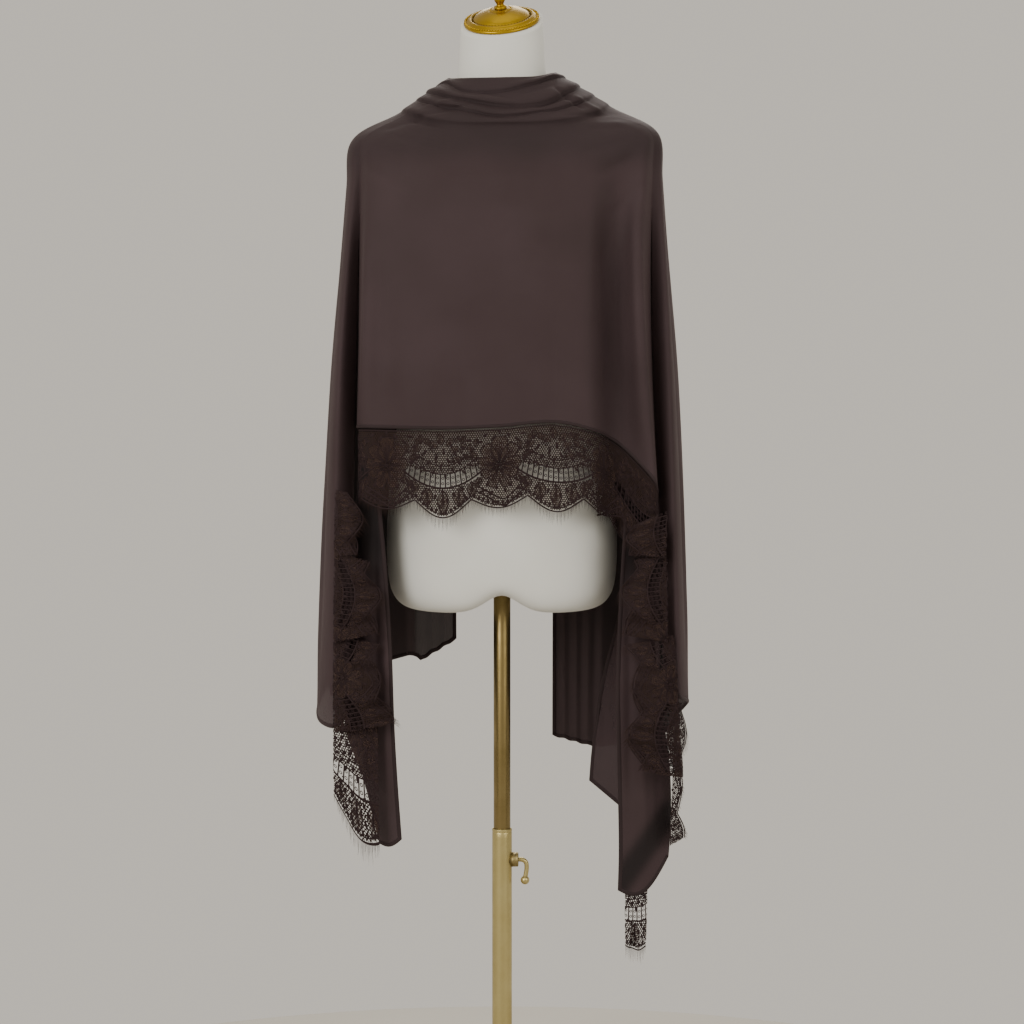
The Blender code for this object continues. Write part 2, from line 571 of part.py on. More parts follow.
def make_clamp(collection, cutters, brass):
    """The boss on the lower tube and the bent lever that tightens against the pole."""
    half = (BOSS_END - BOSS_START) / 2
    boss = turned("clamp_boss", [
        (BOSS_BORE, half), (BOSS_RADIUS - BOSS_CHAMFER, half),
        (BOSS_RADIUS, half - BOSS_CHAMFER), (BOSS_RADIUS, -half),
        (BOSS_BORE, -half)], 24, collection, brass)
    boss.rotation_euler = (0.0, math.pi / 2, 0.0)
    boss.location = (BOSS_END - half, 0.0, CLAMP_HEIGHT)
    reach = 3 * BOSS_RADIUS
    cut(boss, cutter("tube_clearance", LOWER_TUBE_RADIUS + FIT_GAP, CLAMP_HEIGHT - reach,
                     CLAMP_HEIGHT + reach, Vector((0, 0, 1)), cutters))

    curve = bpy.data.curves.new("lever_route", "CURVE")
    curve.dimensions = "3D"
    curve.bevel_depth = LEVER_RADIUS
    curve.bevel_resolution = 1
    curve.use_fill_caps = True
    spline = curve.splines.new("POLY")
    spline.points.add(len(LEVER_ROUTE) - 1)
    for point, place in zip(spline.points, LEVER_ROUTE):
        point.co = (place.out, 0.0, place.height, 1.0)
    rod = bpy.data.objects.new("lever_rod", curve)
    collection.objects.link(rod)
    depsgraph = bpy.context.evaluated_depsgraph_get()
    mesh = bpy.data.meshes.new_from_object(rod.evaluated_get(depsgraph))
    bpy.data.objects.remove(rod)
    build = bmesh.new()
    build.from_mesh(mesh)
    bmesh.ops.remove_doubles(build, verts=build.verts, dist=0.00001)
    build.to_mesh(mesh)
    build.free()
    mesh.materials.clear()
    lever = add_object("clamp_lever", mesh, collection, brass)
    lever.location = (0.0, 0.0, CLAMP_HEIGHT)

    ball_mesh = bpy.data.meshes.new("lever_ball")
    build = bmesh.new()
    bmesh.ops.create_uvsphere(build, u_segments=16, v_segments=10, radius=BALL_RADIUS)
    build.to_mesh(ball_mesh)
    build.free()
    ball = bpy.data.objects.new("lever_ball", ball_mesh)
    cutters.objects.link(ball)
    ball.location = (BALL_PLACE.out, 0.0, CLAMP_HEIGHT + BALL_PLACE.height)
    ball.hide_render = True
    ball.display_type = "WIRE"
    join = lever.modifiers.new("ball", "BOOLEAN")
    join.operation = "UNION"
    join.solver = "EXACT"
    join.object = ball


def form_ring(level):
    """The points of one level of the form, round from +X."""
    ring = []
    for step in range(FORM_SIDES):
        angle = 2 * math.pi * step / FORM_SIDES
        power = 2.0 / FORM_ROUNDNESS
        side = math.copysign(abs(math.cos(angle)) ** power, math.cos(angle))
        front = math.copysign(abs(math.sin(angle)) ** power, math.sin(angle))
        depth = level.back if front > 0 else level.front
        x = level.half_width * side
        y = depth * front
        ring.append(Vector((x, y, level.height + level.tilt * y + level.roll * x)))
    return ring


def bottom_height(x):
    """The height of the form's underside: two rounded lobes and a shallow arch between."""
    return FORM_BOTTOM + FORM_ARCH * math.exp(-(x / 0.030) ** 2)


def make_form(collection, cutters, cotton, gilt):
    """The form, smooth and whole, with its two-lobed bottom, and the cap on its neck."""
    rings = [form_ring(level) for level in FORM_LEVELS]
    hip = rings[-1]
    for share, drop in FORM_BOTTOM_RINGS:
        ring = []
        for point in hip:
            low = bottom_height(point.x * share)
            height = point.z + (low - point.z) * drop
            ring.append(Vector((point.x * share, point.y * share, height)))
        rings.append(ring)
    mesh = bpy.data.meshes.new("dress_form")
    build = bmesh.new()
    loops = [[build.verts.new(point) for point in ring] for ring in rings]
    for upper, lower in zip(loops, loops[1:]):
        for step in range(FORM_SIDES):
            after = (step + 1) % FORM_SIDES
            build.faces.new((upper[step], lower[step], lower[after], upper[after]))
    build.faces.new(loops[0])
    middle = build.verts.new((0.0, 0.0, bottom_height(0.0)))
    for step in range(FORM_SIDES):
        build.faces.new((loops[-1][step], middle, loops[-1][(step + 1) % FORM_SIDES]))
    build.to_mesh(mesh)
    build.free()
    mesh.shade_smooth()
    form = add_object("dress_form", mesh, collection, cotton)
    cut(form, cutter("pole_socket", POLE_RADIUS + FIT_GAP, 0.70, POLE_TOP + FIT_GAP,
                     Vector((0, 0, 1)), cutters))

    top = FORM_LEVELS[0]
    normal = Vector((-top.roll, -top.tilt, 1.0)).normalized()
    spin = Vector((0, 0, 1)).rotation_difference(normal).to_matrix().to_4x4()
    foot = Vector((0.0, 0.0, top.height)) + normal * FIT_GAP
    cap = turned("neck_cap", [
        (0.0, 0.0185), (0.010, 0.0185), (0.013, 0.0175), (0.020, 0.0160), (0.030, 0.0125),
        (0.036, 0.0085), (0.040, 0.0085), (0.043, 0.0070), (0.046, 0.0070),
        (0.0495, 0.0050), (0.0500, 0.0025), (0.0485, 0.0), (0.0, 0.0)],
        28, collection, gilt)
    cap.matrix_world = Matrix.Translation(foot) @ spin
    finial = turned("finial", [
        (0.0, 0.0200), (0.0035, 0.0192), (0.0062, 0.0165), (0.0075, 0.0130),
        (0.0068, 0.0092), (0.0048, 0.0060), (0.0050, 0.0040), (0.0082, 0.0022),
        (0.0082, 0.0), (0.0, 0.0)], 16, collection, gilt)
    finial.matrix_world = Matrix.Translation(foot + normal * (0.0185 + FIT_GAP)) @ spin


def make_neck_folds(collection, chiffon):
    """The gathered folds round the neck, one wall for each."""
    angles = [FOLD_END_ANGLE * (2 * step / FOLD_STEPS - 1) for step in range(FOLD_STEPS + 1)]
    shares = [FOLD_EDGE, *FOLD_CREST, 1 - FOLD_EDGE]
    for index in range(len(FOLD_DEPTHS)):
        grid = [[fold_place(index, angle, share) for angle in angles] for share in shares]
        sheet(f"neck_fold_{index + 1}", grid, CHIFFON_WALL, collection, chiffon)


def drape_grid(curves, columns, first_down):
    """Rows of points over a draped stretch."""
    grid = []
    for down in DRAPE_ROWS:
        share = first_down + (1 - first_down) * down
        grid.append([drape_place(curves, (len(curves) - 1) * column / columns, share)
                     for column in range(columns + 1)])
    return grid


def make_drapes(collection, chiffon):
    """The front panel, the drapes over the sides and the gathered back."""
    front = [drape_curve(line) for line in FRONT_LINES]
    sheet("front_panel", drape_grid(front, FRONT_COLUMNS, FRONT_START), CHIFFON_WALL,
          collection, chiffon)
    for side, lines in (("left", SIDE_LEFT_LINES), ("right", SIDE_RIGHT_LINES)):
        curves = [drape_curve(line) for line in lines]
        sheet(f"side_{side}", drape_grid(curves, SIDE_COLUMNS, SIDE_START), CHIFFON_WALL, collection,
              chiffon, flip=side == "left")
    for side, back in zip(("left", "right"), BACKS):
        grid = drape_grid(back_curves(back), BACK_COLUMNS, BACK_START)
        sheet(f"back_{side}", grid, CHIFFON_WALL, collection, chiffon, flip=side == "left")


def make_layers(collection, chiffon):
    """The ends of the shawl that hang behind the lace cascade."""
    for name, levels, flip in (("tail_left", TAIL_LEFT, False), ("tail_right", TAIL_RIGHT, True),
                               ("under_right", UNDER_RIGHT, True)):
        downs = [step / 2 for step in range(2 * (len(levels) - 1) + 1)]
        grid = [[level_place(levels, down, column / LAYER_COLUMNS)
                 for column in range(LAYER_COLUMNS + 1)] for down in downs]
        sheet(name, grid, CHIFFON_WALL, collection, chiffon, flip=flip)


def lace_columns(length):
    """Shares along a stretch where a ladder opening starts or ends."""
    count = max(3, int((length - LADDER_BAR) / LADDER_PITCH))
    opening = length / count - LADDER_BAR
    columns = [0.0]
    for index in range(count):
        start = (index * length / count + LADDER_BAR / 2) / length
        columns += [start, start + opening / length]
    return columns + [1.0]


def edge_at(columns, edge, inner, column):
    """A place on the scalloped edge, and the way that points out of the lace there."""
    index = 0
    while index < len(columns) - 2 and column > columns[index + 1]:
        index += 1
    share = (column - columns[index]) / (columns[index + 1] - columns[index])
    spot = edge[index].lerp(edge[index + 1], share)
    root = inner[index].lerp(inner[index + 1], share)
    return spot, (spot - root).normalized()


def make_lace(name, place, length, phase, collection, finish, flip, fringed=True):
    """A stretch of lace, open between the bars of its ladder arc, and its fringe."""
    columns = lace_columns(length)
    repeats = [phase + column * length / LACE_REPEAT for column in columns]
    rows = []
    for line in range(4):
        row = []
        for column, repeat in zip(columns, repeats):
            depth = [0.0, swag(repeat), swag(repeat) + LADDER_HEIGHT, scallop(repeat)][line]
            row.append(place(column, depth))
        rows.append(row)
    holes = {(1, across) for across in range(1, len(columns) - 1, 2)
             if open_ladder((repeats[across] + repeats[across + 1]) / 2)}
    sheet(name, rows, LACE_WALL, collection, finish, holes=holes, flip=flip)

    if not fringed:
        return
    count = int(length / FRINGE_PITCH)
    strip_columns = []
    for index in range(count):
        middle = (index + 0.5) / count
        half = FRINGE_WIDTH / 2 / length
        strip_columns += [middle - half, middle + half]
    edge = rows[-1]
    inner = rows[-2]
    strip = [[], []]
    for column in strip_columns:
        spot, away = edge_at(columns, edge, inner, column)
        strip[0].append(spot + away * FRINGE_GAP)
        strip[1].append(spot + away * (FRINGE_GAP + STRIP_DEPTH))
    teeth = []
    for index in range(count):
        middle = (index + 0.5 + 0.3 * math.sin(7.0 * index)) / count
        spot, away = edge_at(columns, edge, inner, min(max(middle, 0.0), 1.0))
        reach = FRINGE_LENGTH * (0.75 + 0.25 * math.sin(11.0 * index))
        teeth.append((2 * index, spot + away * (FRINGE_GAP + STRIP_DEPTH + reach)))
    sheet(name.replace("lace", "fringe"), strip, FRINGE_WALL, collection, finish,
          flip=flip, teeth=teeth)


def make_all_lace(collection, finish):
    """Every stretch of the lace that shows."""
    hem = front_hem_runs()

    def front_place(along, across):
        return front_lace_place(hem, along, across)

    make_lace("lace_front", front_place, hem[1][-1], LACE_FRONT_PHASE, collection, finish, False)
    for stretch in LACE_STRETCHES:
        seam = Vector(stretch.seam_b) - Vector(stretch.seam_a)
        down = Vector(stretch.edge_a) - Vector(stretch.seam_a)
        faces_back = seam.cross(down).y < 0

        def place(along, across, stretch=stretch):
            return lace_place(stretch, along, across)

        make_lace(stretch.name, place, stretch.length, stretch.phase, collection, finish,
                  faces_back, fringed=stretch.name != "lace_right_under")


def main():
    for item in list(bpy.data.objects):
        bpy.data.objects.remove(item)
    collection = bpy.data.collections.new("lace_hijab_on_form")
    bpy.context.scene.collection.children.link(collection)
    cutters = bpy.data.collections.new("cutters")
    bpy.context.scene.collection.children.link(cutters)

    chiffon = material("chiffon", (67, 51, 50), 0.75, 0.0)
    lace = material("lace", (48, 34, 34), 0.80, 0.0)
    cotton = material("form_cotton", (200, 202, 196), 0.85, 0.0)
    brass = material("brass_tube", (150, 128, 78), 0.30, 1.0)
    gilt = material("gilt_cap", (190, 150, 60), 0.25, 1.0)

    make_stand(collection, brass)
    make_clamp(collection, cutters, brass)
    make_form(collection, cutters, cotton, gilt)
    make_neck_folds(collection, chiffon)
    make_drapes(collection, chiffon)
    make_layers(collection, chiffon)
    make_all_lace(collection, lace)


main()
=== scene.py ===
# %% [markdown]
# # A lace-trimmed hijab shawl on a dress form
#
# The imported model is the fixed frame: its bodies carry every piece made here. Each piece
# takes the place of the plain solids that it names, and lies where they lie. Units are
# metres, +Z is up and the front faces -Y.

import math
from collections import namedtuple

import bmesh
import bpy
import numpy as np
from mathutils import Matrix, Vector
from mathutils.kdtree import KDTree


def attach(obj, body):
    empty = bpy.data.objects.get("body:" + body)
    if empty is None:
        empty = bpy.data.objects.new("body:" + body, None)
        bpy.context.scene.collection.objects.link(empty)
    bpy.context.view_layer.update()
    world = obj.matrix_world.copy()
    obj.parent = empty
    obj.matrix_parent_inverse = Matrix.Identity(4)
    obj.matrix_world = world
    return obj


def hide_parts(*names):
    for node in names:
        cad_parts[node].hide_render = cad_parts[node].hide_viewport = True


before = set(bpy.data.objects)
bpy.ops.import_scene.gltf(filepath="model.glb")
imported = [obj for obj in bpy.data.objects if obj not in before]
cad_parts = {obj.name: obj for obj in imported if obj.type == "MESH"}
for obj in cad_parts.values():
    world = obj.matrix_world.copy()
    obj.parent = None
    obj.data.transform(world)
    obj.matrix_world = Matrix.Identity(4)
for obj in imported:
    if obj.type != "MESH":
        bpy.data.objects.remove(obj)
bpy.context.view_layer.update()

# %% [markdown]
# ## Sizes
#
# The shawl is one chiffon rectangle with a band of scalloped lace sewn to one long edge.
# These sizes hold all over it. Real chiffon is thinner than this wall, which stays inside
# the plain solids' thicker one. Every other table stands at the step that uses it.

# %% Sizes
CHIFFON_WALL = 0.0008
HEM_WIDTH = 0.0055
HEM_SWELL = 0.0007
LACE_DEPTH = 0.112
LACE_REPEAT = 0.141
print("lace", round(LACE_DEPTH * 1000), "mm deep, a flower each", round(LACE_REPEAT * 1000), "mm")


# %% [markdown]
# ## Curves and sheets
#
# A line down the cloth is a smooth curve through a few places, and the cloth between two
# lines is a smooth curve across them. Blender's curve objects could do that, but sums on
# arrays of points make all the columns of a sheet at once, and come out the same each run.

# %% Curves
def hermite(start, end, slope_in, slope_out, local):
    """Points between two places, leaving and arriving at given slopes."""
    square = local * local
    cube = square * local
    place = start * (2 * cube - 3 * square + 1) + end * (3 * square - 2 * cube)
    return place + slope_in * (cube - 2 * square + local) + slope_out * (cube - square)


def run_lengths(points):
    """How far along a run of places each one lies."""
    spans = np.linalg.norm(np.diff(points, axis=0), axis=1)
    return np.concatenate([[0.0], np.cumsum(spans)])


def curve_length(points):
    """The length of the straight runs through a curve's places."""
    return float(np.linalg.norm(np.diff(points, axis=0), axis=1).sum())


def curve_at(points, shares):
    """Points on a smooth curve through unevenly spaced places, at shares of its length."""
    points = np.asarray(points, float)
    knots = run_lengths(points)
    spans = np.linalg.norm(np.diff(points, axis=0), axis=1)
    chords = np.diff(points, axis=0) / spans[:, None]
    slopes = np.empty_like(points)
    slopes[0] = chords[0]
    slopes[-1] = chords[-1]
    for index in range(1, len(points) - 1):
        near = spans[index - 1]
        far = spans[index]
        slopes[index] = (chords[index - 1] * far + chords[index] * near) / (near + far)
    place = np.clip(shares, 0.0, 1.0) * knots[-1]
    index = np.clip(np.searchsorted(knots, place, side="right") - 1, 0, len(spans) - 1)
    span = spans[index][:, None]
    local = (place - knots[index])[:, None] / span
    return hermite(points[index], points[index + 1], slopes[index] * span,
                   slopes[index + 1] * span, local)


def along_line(points, runs, at):
    """Places on the straight runs through points, which lie at these runs."""
    return np.stack([np.interp(at, runs, column) for column in points.T], axis=-1)


def across_at(rows, places):
    """Values on smooth curves through the rows of an array, at places counted in rows."""
    rows = np.asarray(rows, float)
    places = np.asarray(places, float)
    index = np.clip(places.astype(int), 0, len(rows) - 2)
    local = (places - index).reshape(places.shape + (1,) * (rows.ndim - 1))
    start = rows[index]
    end = rows[index + 1]
    before = rows[np.maximum(index - 1, 0)]
    after = rows[np.minimum(index + 2, len(rows) - 1)]
    return hermite(start, end, (end - before) / 2, (after - start) / 2, local)


def smoothstep(low, high, value):
    """0 below low, 1 above high and smooth between."""
    share = np.clip((value - low) / (high - low), 0.0, 1.0)
    return share * share * (3 - 2 * share)


def unit(vectors):
    """Vectors of length 1 along the last axis."""
    return vectors / np.maximum(np.linalg.norm(vectors, axis=-1, keepdims=True), 1e-9)


# %% Meshes
# Points closer than this are one point of a sheet.
GRID_MERGE = 0.00002


def mesh_object(name, points, faces, smooth=True):
    """An object from points and faces."""
    mesh = bpy.data.meshes.new(name)
    mesh.from_pydata([tuple(point) for point in points], [], faces)
    mesh.update()
    if smooth:
        mesh.shade_smooth()
    item = bpy.data.objects.new(name, mesh)
    bpy.context.scene.collection.objects.link(item)
    return item


def grid_faces(rows, columns, first=0, flip=False):
    """The faces of a grid of points that starts at point number first."""
    faces = []
    for row in range(rows - 1):
        for column in range(columns - 1):
            corner = first + row * columns + column
            face = (corner, corner + columns, corner + columns + 1, corner + 1)
            faces.append(face[::-1] if flip else face)
    return faces


def ring_faces(rings, sides, first=0, flip=False, closed=False):
    """The faces between rings of points. Closed joins the last ring to the first."""
    faces = []
    for ring in range(rings if closed else rings - 1):
        near = first + ring * sides
        far = first + (ring + 1) % rings * sides
        for side in range(sides):
            after = (side + 1) % sides
            face = (near + side, far + side, far + after, near + after)
            faces.append(face[:1] + face[:0:-1] if flip else face)
    return faces


def turn_angles(sides, closed=False):
    """Evenly spaced angles of a full turn. Closed repeats the first one at the end."""
    return 2 * math.pi * np.arange(sides + closed) / sides


def mend(item, merge=0.0, holes=0, outward=True):
    """Joins doubled points, fills holes of up to so many sides and turns faces outward."""
    build = bmesh.new()
    build.from_mesh(item.data)
    if merge:
        bmesh.ops.remove_doubles(build, verts=build.verts, dist=merge)
    if holes:
        bmesh.ops.holes_fill(build, edges=build.edges, sides=holes)
    if outward:
        bmesh.ops.recalc_face_normals(build, faces=build.faces)
    build.to_mesh(item.data)
    build.free()


def grids_object(name, grids):
    """One object from several grids of points, each (points, flip), joined where they meet."""
    points = []
    faces = []
    for grid, flip in grids:
        rows, columns = grid.shape[:2]
        faces += grid_faces(rows, columns, len(points), flip)
        points += list(grid.reshape(-1, 3))
    item = mesh_object(name, points, faces)
    mend(item, merge=GRID_MERGE, outward=False)
    item.data.shade_smooth()
    return item


def vertex_arrays(mesh):
    """The places and the normals of a mesh's vertices."""
    count = len(mesh.vertices)
    places = np.empty(count * 3)
    normals = np.empty(count * 3)
    mesh.vertices.foreach_get("co", places)
    mesh.vertex_normals.foreach_get("vector", normals)
    return places.reshape(-1, 3), normals.reshape(-1, 3)


def move_vertices(mesh, places):
    """Puts a mesh's vertices at new places."""
    mesh.vertices.foreach_set("co", np.asarray(places, float).reshape(-1))
    mesh.update()


# %% [markdown]
# ## Creases and walls
#
# A creased cloth is a smooth sheet with soft troughs and ridges laid over it. Pressing
# them into the mesh, rather than drawing them as a bump, lets the edge of the cloth show
# them too. A modifier then gives the sheet its two faces.

# %% Creases and walls
# A crease runs over one side of the cloth from one place to another. Across is X on the
# front and the back, and Y on the left and the right. A negative depth is a trough.
Crease = namedtuple("Crease", "across_a height_a across_b height_b width depth")
SIDE_AXES = {"front": (0, (0, -1)), "back": (0, (0, 1)), "left": (1, (-1, 0)),
             "right": (1, (1, 0))}


def press_creases(item, creases):
    """Presses rows of creases for each side into a sheet, along its own normals."""
    places, normals = vertex_arrays(item.data)
    out = np.sign((normals[:, :2] * places[:, :2]).sum()) or 1.0
    normals = normals * out
    shift = np.zeros(len(places))
    for side, crease in [(side, Crease(*row)) for side, rows in creases.items() for row in rows]:
        axis, facing = SIDE_AXES[side]
        seen = smoothstep(0.15, 0.6, normals[:, 0] * facing[0] + normals[:, 1] * facing[1])
        flat = places[:, (axis, 2)]
        start = np.array((crease.across_a, crease.height_a))
        run = np.array((crease.across_b, crease.height_b)) - start
        length = np.linalg.norm(run)
        along = (flat - start) @ run / length ** 2
        away = ((flat - start) @ np.array((-run[1], run[0]))) / length
        ends = smoothstep(-0.05, 0.30, along) * (1 - smoothstep(0.70, 1.05, along))
        shift += crease.depth * np.exp(-(away / crease.width) ** 2) * ends * seen
    move_vertices(item.data, places + normals * shift[:, None])


def thicken(item, wall):
    """Gives a sheet its two faces."""
    shell = item.modifiers.new("wall", "SOLIDIFY")
    shell.thickness = wall
    shell.offset = 0.0
    shell.use_quality_normals = False


def store(item, name, values):
    """Stores a value for each vertex of a sheet: how sheer it looks, or how deep in shade."""
    layer = item.data.attributes.new(name, "FLOAT", "POINT")
    layer.data.foreach_set("value", np.asarray(values, float))


# %% [markdown]
# ## Materials
#
# Each material is named for the real one. Images could carry the patterns, but noise made
# by nodes stays sharp at any distance, and its scale can be a real size in metres. Colours
# are screen colours, turned linear.

# %% Colour and node helpers
def linear(code):
    """A screen colour such as 433433 as linear red, green, blue and 1."""
    channels = [int(code[index:index + 2], 16) / 255 for index in (0, 2, 4)]
    return (*[value / 12.92 if value <= 0.04045 else ((value + 0.055) / 1.055) ** 2.4
              for value in channels], 1.0)


def new_material(name):
    """A material, its tree and its Principled shader."""
    made = bpy.data.materials.new(name)
    made.use_nodes = True
    return made, made.node_tree, made.node_tree.nodes["Principled BSDF"]


def set_inputs(tree, node, inputs):
    """Sets a node's inputs to values, or links them from sockets."""
    for key, value in inputs.items():
        if isinstance(value, bpy.types.NodeSocket):
            tree.links.new(value, node.inputs[key])
        else:
            node.inputs[key].default_value = value


def add_node(tree, kind, inputs=None, **settings):
    """A node with its settings and its inputs."""
    node = tree.nodes.new(kind)
    for key, value in settings.items():
        setattr(node, key, value)
    set_inputs(tree, node, inputs or {})
    return node


def own_metres(tree):
    """The piece's own coordinates, in metres."""
    return add_node(tree, "ShaderNodeTexCoord").outputs["Object"]


def noise(tree, size, detail=2.0, rough=0.5):
    """A noise whose blobs are about size metres across."""
    return add_node(tree, "ShaderNodeTexNoise", {
        "Vector": own_metres(tree), "Scale": 1.0 / size, "Detail": detail,
        "Roughness": rough}).outputs["Fac"]


def two_tone(tree, factor, dark, light):
    """A colour between two screen colours, by a factor around one half."""
    ramp = add_node(tree, "ShaderNodeValToRGB", {"Fac": factor})
    ramp.color_ramp.elements[0].position = 0.30
    ramp.color_ramp.elements[0].color = linear(dark)
    ramp.color_ramp.elements[1].position = 0.70
    ramp.color_ramp.elements[1].color = linear(light)
    return ramp.outputs["Color"]


def bump(tree, height, depth, strength=1.0, under=None):
    """A bump of real depth over an optional bump under it."""
    inputs = {"Height": height, "Distance": depth, "Strength": strength}
    if under is not None:
        inputs["Normal"] = under
    return add_node(tree, "ShaderNodeBump", inputs).outputs["Normal"]


def see_through(tree, shader, factor):
    """Lets a share of the light straight through a surface."""
    clear = add_node(tree, "ShaderNodeBsdfTransparent")
    mix = add_node(tree, "ShaderNodeMixShader", {
        0: factor, 1: shader.outputs["BSDF"], 2: clear.outputs["BSDF"]})
    set_inputs(tree, tree.nodes["Material Output"], {"Surface": mix.outputs["Shader"]})


def stored(tree, name):
    """The value that a sheet stores under this name."""
    return add_node(tree, "ShaderNodeAttribute", attribute_name=name).outputs["Fac"]


def stretched_noise(tree, across, along, scale=1.0, detail=3.0):
    """A noise drawn out along Z, as slubs, brushing or a knit's wales are."""
    mapping = add_node(tree, "ShaderNodeMapping", {
        "Vector": own_metres(tree), "Scale": (1 / across, 1 / across, 1 / along)})
    return add_node(tree, "ShaderNodeTexNoise", {
        "Vector": mapping.outputs["Vector"], "Scale": scale, "Detail": detail}).outputs["Fac"]


# %% Cloth materials
# Each pattern's size and how deep it is, in metres.
CREPE_GRAIN = 0.0009
GRAIN_DEPTH = 0.00010
CREPE_SLUB = 0.010
SLUB_DEPTH = 0.00012
CRUMPLE = 0.040
CRUMPLE_DEPTH = 0.0016
CLOTH_CLOUD = 0.12
# Painted shade: the colour that the sheer cloth is darkened towards in its folds and hollows.
DEEP_SHADE = "0c0808"


def chiffon_material(name, dark, light, sheer):
    """Crepe chiffon: a fine pebbled grain, faint slubs along the weft and a soft sheen."""
    made, tree, shader = new_material(name)
    tone = two_tone(tree, noise(tree, CLOTH_CLOUD, 3.0), dark, light)
    if sheer:
        # Painted shade: the colour is darkened towards DEEP_SHADE by the shade that the sheet
        # stores.
        # Input 6 and 7 are the colours A and B of a colour mix, and output 2 is its colour.
        tone = add_node(tree, "ShaderNodeMix", {
            "Factor": stored(tree, "shade"), 6: tone, 7: linear(DEEP_SHADE)},
            data_type="RGBA").outputs[2]
    grain = noise(tree, CREPE_GRAIN, 2.0, 0.6)
    slub = stretched_noise(tree, CREPE_SLUB, CREPE_SLUB / 18, 0.6, 2.0)
    normal = bump(tree, noise(tree, CRUMPLE, 2.5, 0.55), CRUMPLE_DEPTH, 0.95)
    normal = bump(tree, slub, SLUB_DEPTH, 0.5, normal)
    normal = bump(tree, grain, GRAIN_DEPTH, 0.6, normal)
    set_inputs(tree, shader, {
        "Base Color": tone, "Normal": normal, "Roughness": 0.78, "Specular IOR Level": 0.25,
        "Sheen Weight": 0.18, "Sheen Roughness": 0.45, "Sheen Tint": linear("8a7674")})
    if sheer:
        see_through(tree, shader, stored(tree, "sheer"))
    return made


# How deep the twist of a thread is, and how far a fill's openness varies.
TWIST_DEPTH = 0.0002
FILL_SPREAD = 0.22


def lace_material(name, dark, light, pitch, openness=0.0):
    """Lace thread: a matt twisted yarn, darker in its hollows. Openness is the share of a
    closely worked fill that is left open between its threads."""
    made, tree, shader = new_material(name)
    twist_and_shade = noise(tree, pitch, 3.0, 0.7)
    # Painted shade: the yarn is darker where its bump is low, in the hollows between its plies.
    set_inputs(tree, shader, {
        "Base Color": two_tone(tree, twist_and_shade, dark, light),
        "Normal": bump(tree, twist_and_shade, TWIST_DEPTH, 0.8), "Roughness": 0.82,
        "Specular IOR Level": 0.2, "Sheen Weight": 0.10, "Sheen Tint": linear("6a5654")})
    if openness:
        share = add_node(tree, "ShaderNodeMapRange", {
            "Value": noise(tree, pitch, 1.0), "From Min": 0.35, "From Max": 0.65,
            "To Min": openness - FILL_SPREAD, "To Max": openness + FILL_SPREAD})
        see_through(tree, shader, share.outputs["Result"])
    return made


CHIFFON = chiffon_material("crepe_chiffon", "372a2b", "3e3032", True)
CHIFFON_HEM = chiffon_material("crepe_chiffon_hem", "261b1c", "2e2223", False)
LACE_MOTIF = lace_material("lace_motif", "211617", "2e2021", 0.0011)
LACE_NET = lace_material("lace_net", "261a18", "33241f", 0.0008)
LACE_FILL = lace_material("lace_fill", "33251f", "40302b", 0.0012, 0.44)
LACE_LASH = lace_material("lace_eyelash", "241814", "33231f", 0.0006)
print("cloth and thread materials", len(bpy.data.materials))

# %% [markdown]
# ## The shawl
#
# The plain long edge is gathered in four soft folds round the neck. From the yoke line
# under them the cloth falls over the bust, the shoulders and the back. A cloth simulation
# could drape it, but its folds wouldn't fall where this shawl's do, so every fold is placed
# from a table.

# %% The neck
# The neck edge and the yoke line, where the gathered folds end, by angle round the neck.
# Angle 0 is the front and +90 the side at +X.
NeckPoint = namedtuple("NeckPoint", "angle edge_x edge_y edge_z yoke_x yoke_y yoke_z")
NECK_POINTS = [NeckPoint(*row) for row in [
    (-135, -0.064, 0.066, 1.466, -0.116, 0.08, 1.428),
    (-110, -0.068, 0.036, 1.478, -0.128, 0.042, 1.438),
    (-85, -0.069, 0.004, 1.48, -0.13, 0.0, 1.437),
    (-60, -0.062, -0.034, 1.474, -0.118, -0.052, 1.427),
    (-30, -0.038, -0.066, 1.47, -0.074, -0.095, 1.409),
    (0, 0.0, -0.078, 1.469, 0.004, -0.11, 1.406),
    (30, 0.042, -0.066, 1.472, 0.078, -0.095, 1.411),
    (60, 0.064, -0.034, 1.481, 0.122, -0.054, 1.427),
    (85, 0.071, 0.004, 1.486, 0.138, 0.0, 1.445),
    (110, 0.071, 0.036, 1.482, 0.136, 0.042, 1.445),
    (135, 0.068, 0.066, 1.468, 0.12, 0.08, 1.431),
]]
print("places round the neck", len(NECK_POINTS))

# %% The folds of the neck
# The troughs between the gathered folds of the neck, as shares of the way from the neck
# edge to the yoke line by angle round the neck, and how high each trough's floor lies over
# the plain cone.
TROUGH_ANGLES = [-135, -88, -60, -25, 0, 20, 46, 88, 135]
TROUGHS = [
    [0.00, 0.00, 0.00, 0.00, 0.00, 0.00, 0.00, 0.00, 0.00],
    [0.24, 0.28, 0.12, 0.31, 0.30, 0.17, 0.09, 0.16, 0.17],
    [0.46, 0.46, 0.44, 0.48, 0.62, 0.62, 0.46, 0.44, 0.40],
    [0.68, 0.68, 0.66, 0.68, 0.83, 0.76, 0.70, 0.72, 0.72],
    [1.00, 1.00, 1.00, 1.00, 1.00, 1.00, 1.00, 1.00, 1.00],
]
TROUGH_FLOORS = [0.0010, 0.0008, 0.0012, 0.0010, 0.0000]
# A trough is pinched in by this much in front, and it opens out over the shoulders.
TROUGH_PINCH = 0.0022
FOLD_END_ANGLE = 135

